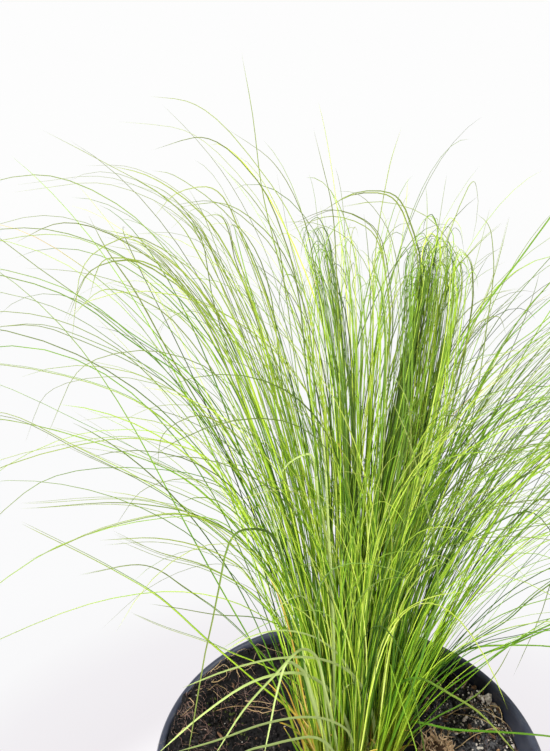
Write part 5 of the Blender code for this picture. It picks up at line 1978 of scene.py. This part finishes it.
# %% Short fibres on the mounds
FIBRE_STATIONS = 8
CROWN_FIBRES = 420
STUMP_FIBRES = 130
LEAST_LEAN = 0.15
EDGE_LEAN = 0.9
LEAN_SPREAD = 0.22
ASIDE_SPREAD = 0.5
TALL_SPREAD = 0.30
CURL_MIDDLE = 0.25
CURL_SPREAD = 0.45
CURL_SWING = 0.16
CURL_WAVES = 1.3
CURL_SWEEP = 0.7
FIBRE_TAPER = 0.65
FIBRE_TAPER_POWER = 1.5
FIBRE_SIDES = 5
THINNEST_PART = 0.3
BRISTLE_SEED = 31
ANY_SIDE = (0.31, 0.87, 0.38)


def bristles(rng, count, centre, inner, outer, level, tall, curl):
    """Short fibres on a ring in plan that lean outwards and curl by chance."""
    radius = np.sqrt(rng.uniform(inner ** 2, outer ** 2, count))
    turn = rng.uniform(0.0, math.tau, count)
    root = around(radius, turn, level)
    root[:, :2] += centre
    lean = LEAST_LEAN + EDGE_LEAN * radius / outer + rng.normal(0.0, LEAN_SPREAD, count)
    heading = turn + rng.normal(0.0, ASIDE_SPREAD, count)
    length = tall * rng.lognormal(0.0, TALL_SPREAD, count)
    share = np.linspace(0.0, 1.0, FIBRE_STATIONS)[None]
    angle = lean[:, None] + rng.normal(CURL_MIDDLE, CURL_SPREAD * curl, (count, 1)) * share
    swing = np.sin(math.tau * (share * CURL_WAVES + rng.uniform(size=(count, 1))))
    angle = angle + CURL_SWING * curl * swing
    sweep = heading[:, None] + rng.normal(0.0, CURL_SWEEP * curl, (count, 1)) * share
    direction = around(np.sin(angle), sweep, np.cos(angle))
    run = (length / (FIBRE_STATIONS - 1))[:, None, None]
    climb = np.cumsum((direction[:, 1:] + direction[:, :-1]) / 2 * run, axis=1)
    return root[:, None] + np.concatenate([np.zeros((count, 1, 3)), climb], axis=1)


def fibre_strands(rng, fibre_lines, thinnest, thickest):
    """Round tapering strands along lines, with widths drawn by chance."""
    count, stations, _ = fibre_lines.shape
    share = np.linspace(0.0, 1.0, stations)[None]
    taper = 1.0 - FIBRE_TAPER * share ** FIBRE_TAPER_POWER
    width = rng.uniform(thinnest, thickest, (count, 1)) * taper
    sideways = np.broadcast_to(ANY_SIDE, fibre_lines.shape)
    growth = np.stack([rng.uniform(size=count), np.ones(count)], axis=-1)
    return strands(fibre_lines, width / 2, sideways, round_outline(FIBRE_SIDES), growth)


rng = np.random.default_rng(BRISTLE_SEED)
crown_lines = bristles(rng, CROWN_FIBRES, (0.0, 0.0), inner=0.004, outer=CROWN_RADIUS * 0.98,
                       level=CROWN_TOP - 0.0035, tall=0.011, curl=1.0)
stump_centre = ((STUMP_LOW.x + STUMP_HIGH.x) / 2, (STUMP_LOW.y + STUMP_HIGH.y) / 2)
stump_lines = bristles(rng, STUMP_FIBRES, stump_centre, inner=0.0004, outer=0.0078,
                       level=STUMP_HIGH.z - 0.0050, tall=0.0115, curl=5.0)
for name, some_lines, thick, finish in (
        ("crown_bristles", crown_lines, 0.0011, "tan_root"),
        ("stump_bristles", stump_lines, 0.0013, "stump_fibre")):
    made = fibre_strands(rng, some_lines, THINNEST_PART * thick, thick)
    finish_strands(name, made, fibres[finish])
print("bristles:", CROWN_FIBRES, "on the crown,", STUMP_FIBRES, "on the stump")

# %% [markdown]
# ## Roots, fallen leaves and hairs
#
# A few tan roots loop out of the soil, and dry leaves have fallen on it. The frame holds the
# five largest as thin solids, so their arcs are repeated here: a straight way in plan, bowed to
# one side, that rises as a half sine. Round them lie some three hundred hair-thin roots and
# straws, which follow the crumbly bed. The clearest dozen follow the photograph. The loops are
# as pale as straw and the fallen leaves have gone brown, so these two finishes change places.

# %% The five in the frame
LOOSE_FIBRES = {
    "root_right_1": ((0.0600, 0.0395), (0.0835, 0.0220), 0.0065),
    "root_right_2": ((0.0575, -0.0060), (0.0790, 0.0105), 0.0045),
    "root_back": ((0.0560, 0.0560), (0.0300, 0.0700), 0.0060),
    "fallen_leaf_left": ((-0.0360, 0.0370), (-0.0690, 0.0290), 0.0045),
    "fallen_leaf_front": ((-0.0350, -0.0420), (0.0080, -0.0640), 0.0060),
}
LOOSE_STATIONS = 26
LOOSE_BOW = 0.12
LOOSE_RADIUS = 0.0006
LOOSE_EASE = 0.8
LOOSE_WIDTH = 0.31
LOOSE_TAPER = 0.15
LOOSE_KNOTS = 0.04
KNOT_WAVES = 31
NEAR_LEVEL = (0.2, 0.9, 0.1)
ROOT_SIDES = 8
ROOT_SEED = 41


def loose_line(start, end, rise):
    """A bowed arc between two places in plan whose middle rises from the soil."""
    share = np.linspace(0.0, 1.0, LOOSE_STATIONS)
    bow = LOOSE_BOW * np.sin(math.pi * share)
    x = start[0] + (end[0] - start[0]) * share + bow * (end[1] - start[1])
    y = start[1] + (end[1] - start[1]) * share - bow * (end[0] - start[0])
    bottom = soil_height(x, y) + LOOSE_RADIUS + GAP
    return np.stack([x, y, bottom + rise * np.sin(math.pi * share) ** LOOSE_EASE], axis=-1)


rng = np.random.default_rng(ROOT_SEED)
share = np.linspace(0.0, 1.0, LOOSE_STATIONS)
knots = LOOSE_KNOTS * np.sin(KNOT_WAVES * share)
width = (LOOSE_RADIUS * (LOOSE_WIDTH - LOOSE_TAPER * share ** 2 + knots))[None]
for name, (start, end, rise) in LOOSE_FIBRES.items():
    line = loose_line(start, end, rise)[None]
    fallen = name.startswith("fallen")
    outline = BROAD_OUTLINE if fallen else round_outline(ROOT_SIDES)
    made = strands(line, width, np.broadcast_to(NEAR_LEVEL, line.shape), outline, np.ones((1, 2)))
    finish_strands(name.replace("_leaf", "_blade") + "_fine", made,
                   fibres["tan_root" if fallen else "dry_leaf"], [name])
print("roots and fallen leaves:", len(LOOSE_FIBRES))

# %% Hairs and straws on the soil
HAIR_STATIONS = 14
HAIR_PIXELS = ((188, 716), (196, 700), (184, 735), (210, 740), (262, 712), (240, 690), (492, 732))
STRAW_PIXELS = ((232, 680), (224, 676), (243, 687), (482, 702), (497, 712), (462, 726), (450, 712))
HAIRS = 280
STRAWS = 30
HAIR_START = 0.026
HAIR_HEAP = 0.007
STRAW_HEAP = 0.006
SHORTEST = 0.35
HAIR_SWING = 0.5
HAIR_WAVES = 1.4
HAIR_MARGIN = 0.0015
HAIR_ARCH = 0.0035
HAIR_GAP = 0.0005
STRAW_GAP = 0.0006


def lying_lines(rng, places, longest, curl):
    """Lines that start at places, wander over the bed and arch a little above it."""
    count = len(places)
    share = np.linspace(0.0, 1.0, HAIR_STATIONS)[None]
    length = longest * rng.uniform(SHORTEST, 1.0, (count, 1))
    turn = rng.uniform(0.0, math.tau, (count, 1)) + curl * rng.normal(size=(count, 1)) * share
    phase = rng.uniform(size=(count, 1))
    turn = turn + HAIR_SWING * np.sin(math.tau * (HAIR_WAVES * share + phase))
    step = length / (HAIR_STATIONS - 1)
    x = places[:, :1] + np.cumsum(np.cos(turn) * step, axis=1)
    y = places[:, 1:2] + np.cumsum(np.sin(turn) * step, axis=1)
    radius = np.hypot(x, y)
    held = np.clip(radius, 0.0, SOIL_EDGE - HAIR_MARGIN) / np.maximum(radius, 1e-6)
    x, y = x * held, y * held
    arch = rng.uniform(0.0, HAIR_ARCH, (count, 1)) * np.sin(math.pi * share)
    return np.stack([x, y, bed_height(x, y) + HAIR_GAP + arch], axis=-1)


hair_places = np.vstack([scattered(rng, HAIRS // 2, HAIR_START, GRAIN_EDGE),
                         gathered(rng, HAIRS - HAIRS // 2, on_soil(HAIR_PIXELS), HAIR_HEAP)])
straw_places = np.vstack([scattered(rng, STRAWS // 2, OUTSIDE_CLUMP, GRAIN_EDGE),
                          gathered(rng, STRAWS - STRAWS // 2, on_soil(STRAW_PIXELS), STRAW_HEAP)])
for name, places, longest, curl, thin, thick, finish in (
        ("root_hairs", hair_places, 0.017, 2.0, 0.00006, 0.00015, "root_hair"),
        ("loose_straws", straw_places, 0.028, 0.6, 0.00012, 0.00032, "dry_leaf")):
    some_lines = lying_lines(rng, places, longest, curl)
    finish_strands(name, fibre_strands(rng, some_lines, thin, thick), fibres[finish])
print("hairs:", HAIRS, "straws:", STRAWS)

# %% Straws and roots that follow the photograph
DRAWN_STRAWS = (
    (0.00045, 0.006, 440, 720, 457, 717, 480, 721, 495, 726, 510, 735, 519, 746),
    (0.00045, 0.004, 455, 750, 470, 744, 490, 737, 505, 735, 512, 736),
    (0.0007, 0.003, 490, 697, 497, 702, 504, 705, 505, 711),
    (0.0006, 0.003, 490, 707, 497, 712, 501, 720, 502, 727),
    (0.0004, 0.003, 462, 690, 470, 683, 478, 684, 484, 690),
    (0.0004, 0.003, 447, 733, 462, 738, 478, 735, 484, 744),
    (0.0004, 0.003, 245, 702, 250, 707, 262, 708, 276, 708),
    (0.0004, 0.004, 247, 710, 252, 716, 262, 719, 276, 719, 286, 712, 292, 707),
    (0.00045, 0.0025, 214, 682, 212, 687, 221, 686, 227, 680, 226, 675, 219, 674),
    (0.0004, 0.0025, 240, 680, 237, 675, 245, 671, 256, 668),
    (0.0004, 0.0025, 188, 700, 194, 706, 190, 714, 180, 718),
    (0.0004, 0.0025, 176, 738, 186, 733, 192, 738, 200, 736),
)


def drawn_line(pixels, rise):
    """A line on the soil below some pixels, lifted in its middle as a half sine."""
    plan = smooth_line(on_soil(pixels), HAIR_STATIONS)
    share = np.linspace(0.0, 1.0, HAIR_STATIONS)
    plan[:, 2] = bed_height(plan[:, 0], plan[:, 1]) + STRAW_GAP + rise * np.sin(math.pi * share)
    return plan


drawn_lines = np.array([drawn_line(as_pixels(path), rise) for _, rise, *path in DRAWN_STRAWS])
drawn_widths = np.array([[row[0]] for row in DRAWN_STRAWS])
finish_strands("drawn_straws", fibre_strands(rng, drawn_lines, drawn_widths, drawn_widths),
               fibres["dry_leaf"])
print("drawn straws:", len(DRAWN_STRAWS))

# %% [markdown]
# ## The frame's box and the count of triangles
#
# The leaves were kept within a small margin of the frame's box when they were cleared. The
# dressed model must keep to the frame's box, apart from the little that thin leaves may stand
# proud. Here the frame's box and the count of new triangles are printed.

# %% Print the frame's box and finish
print("frame box in mm:", [round(1000 * v) for v in CAD_LOW + CAD_HIGH])
print("triangles in all new pieces:", sum(piece_faces.values()))
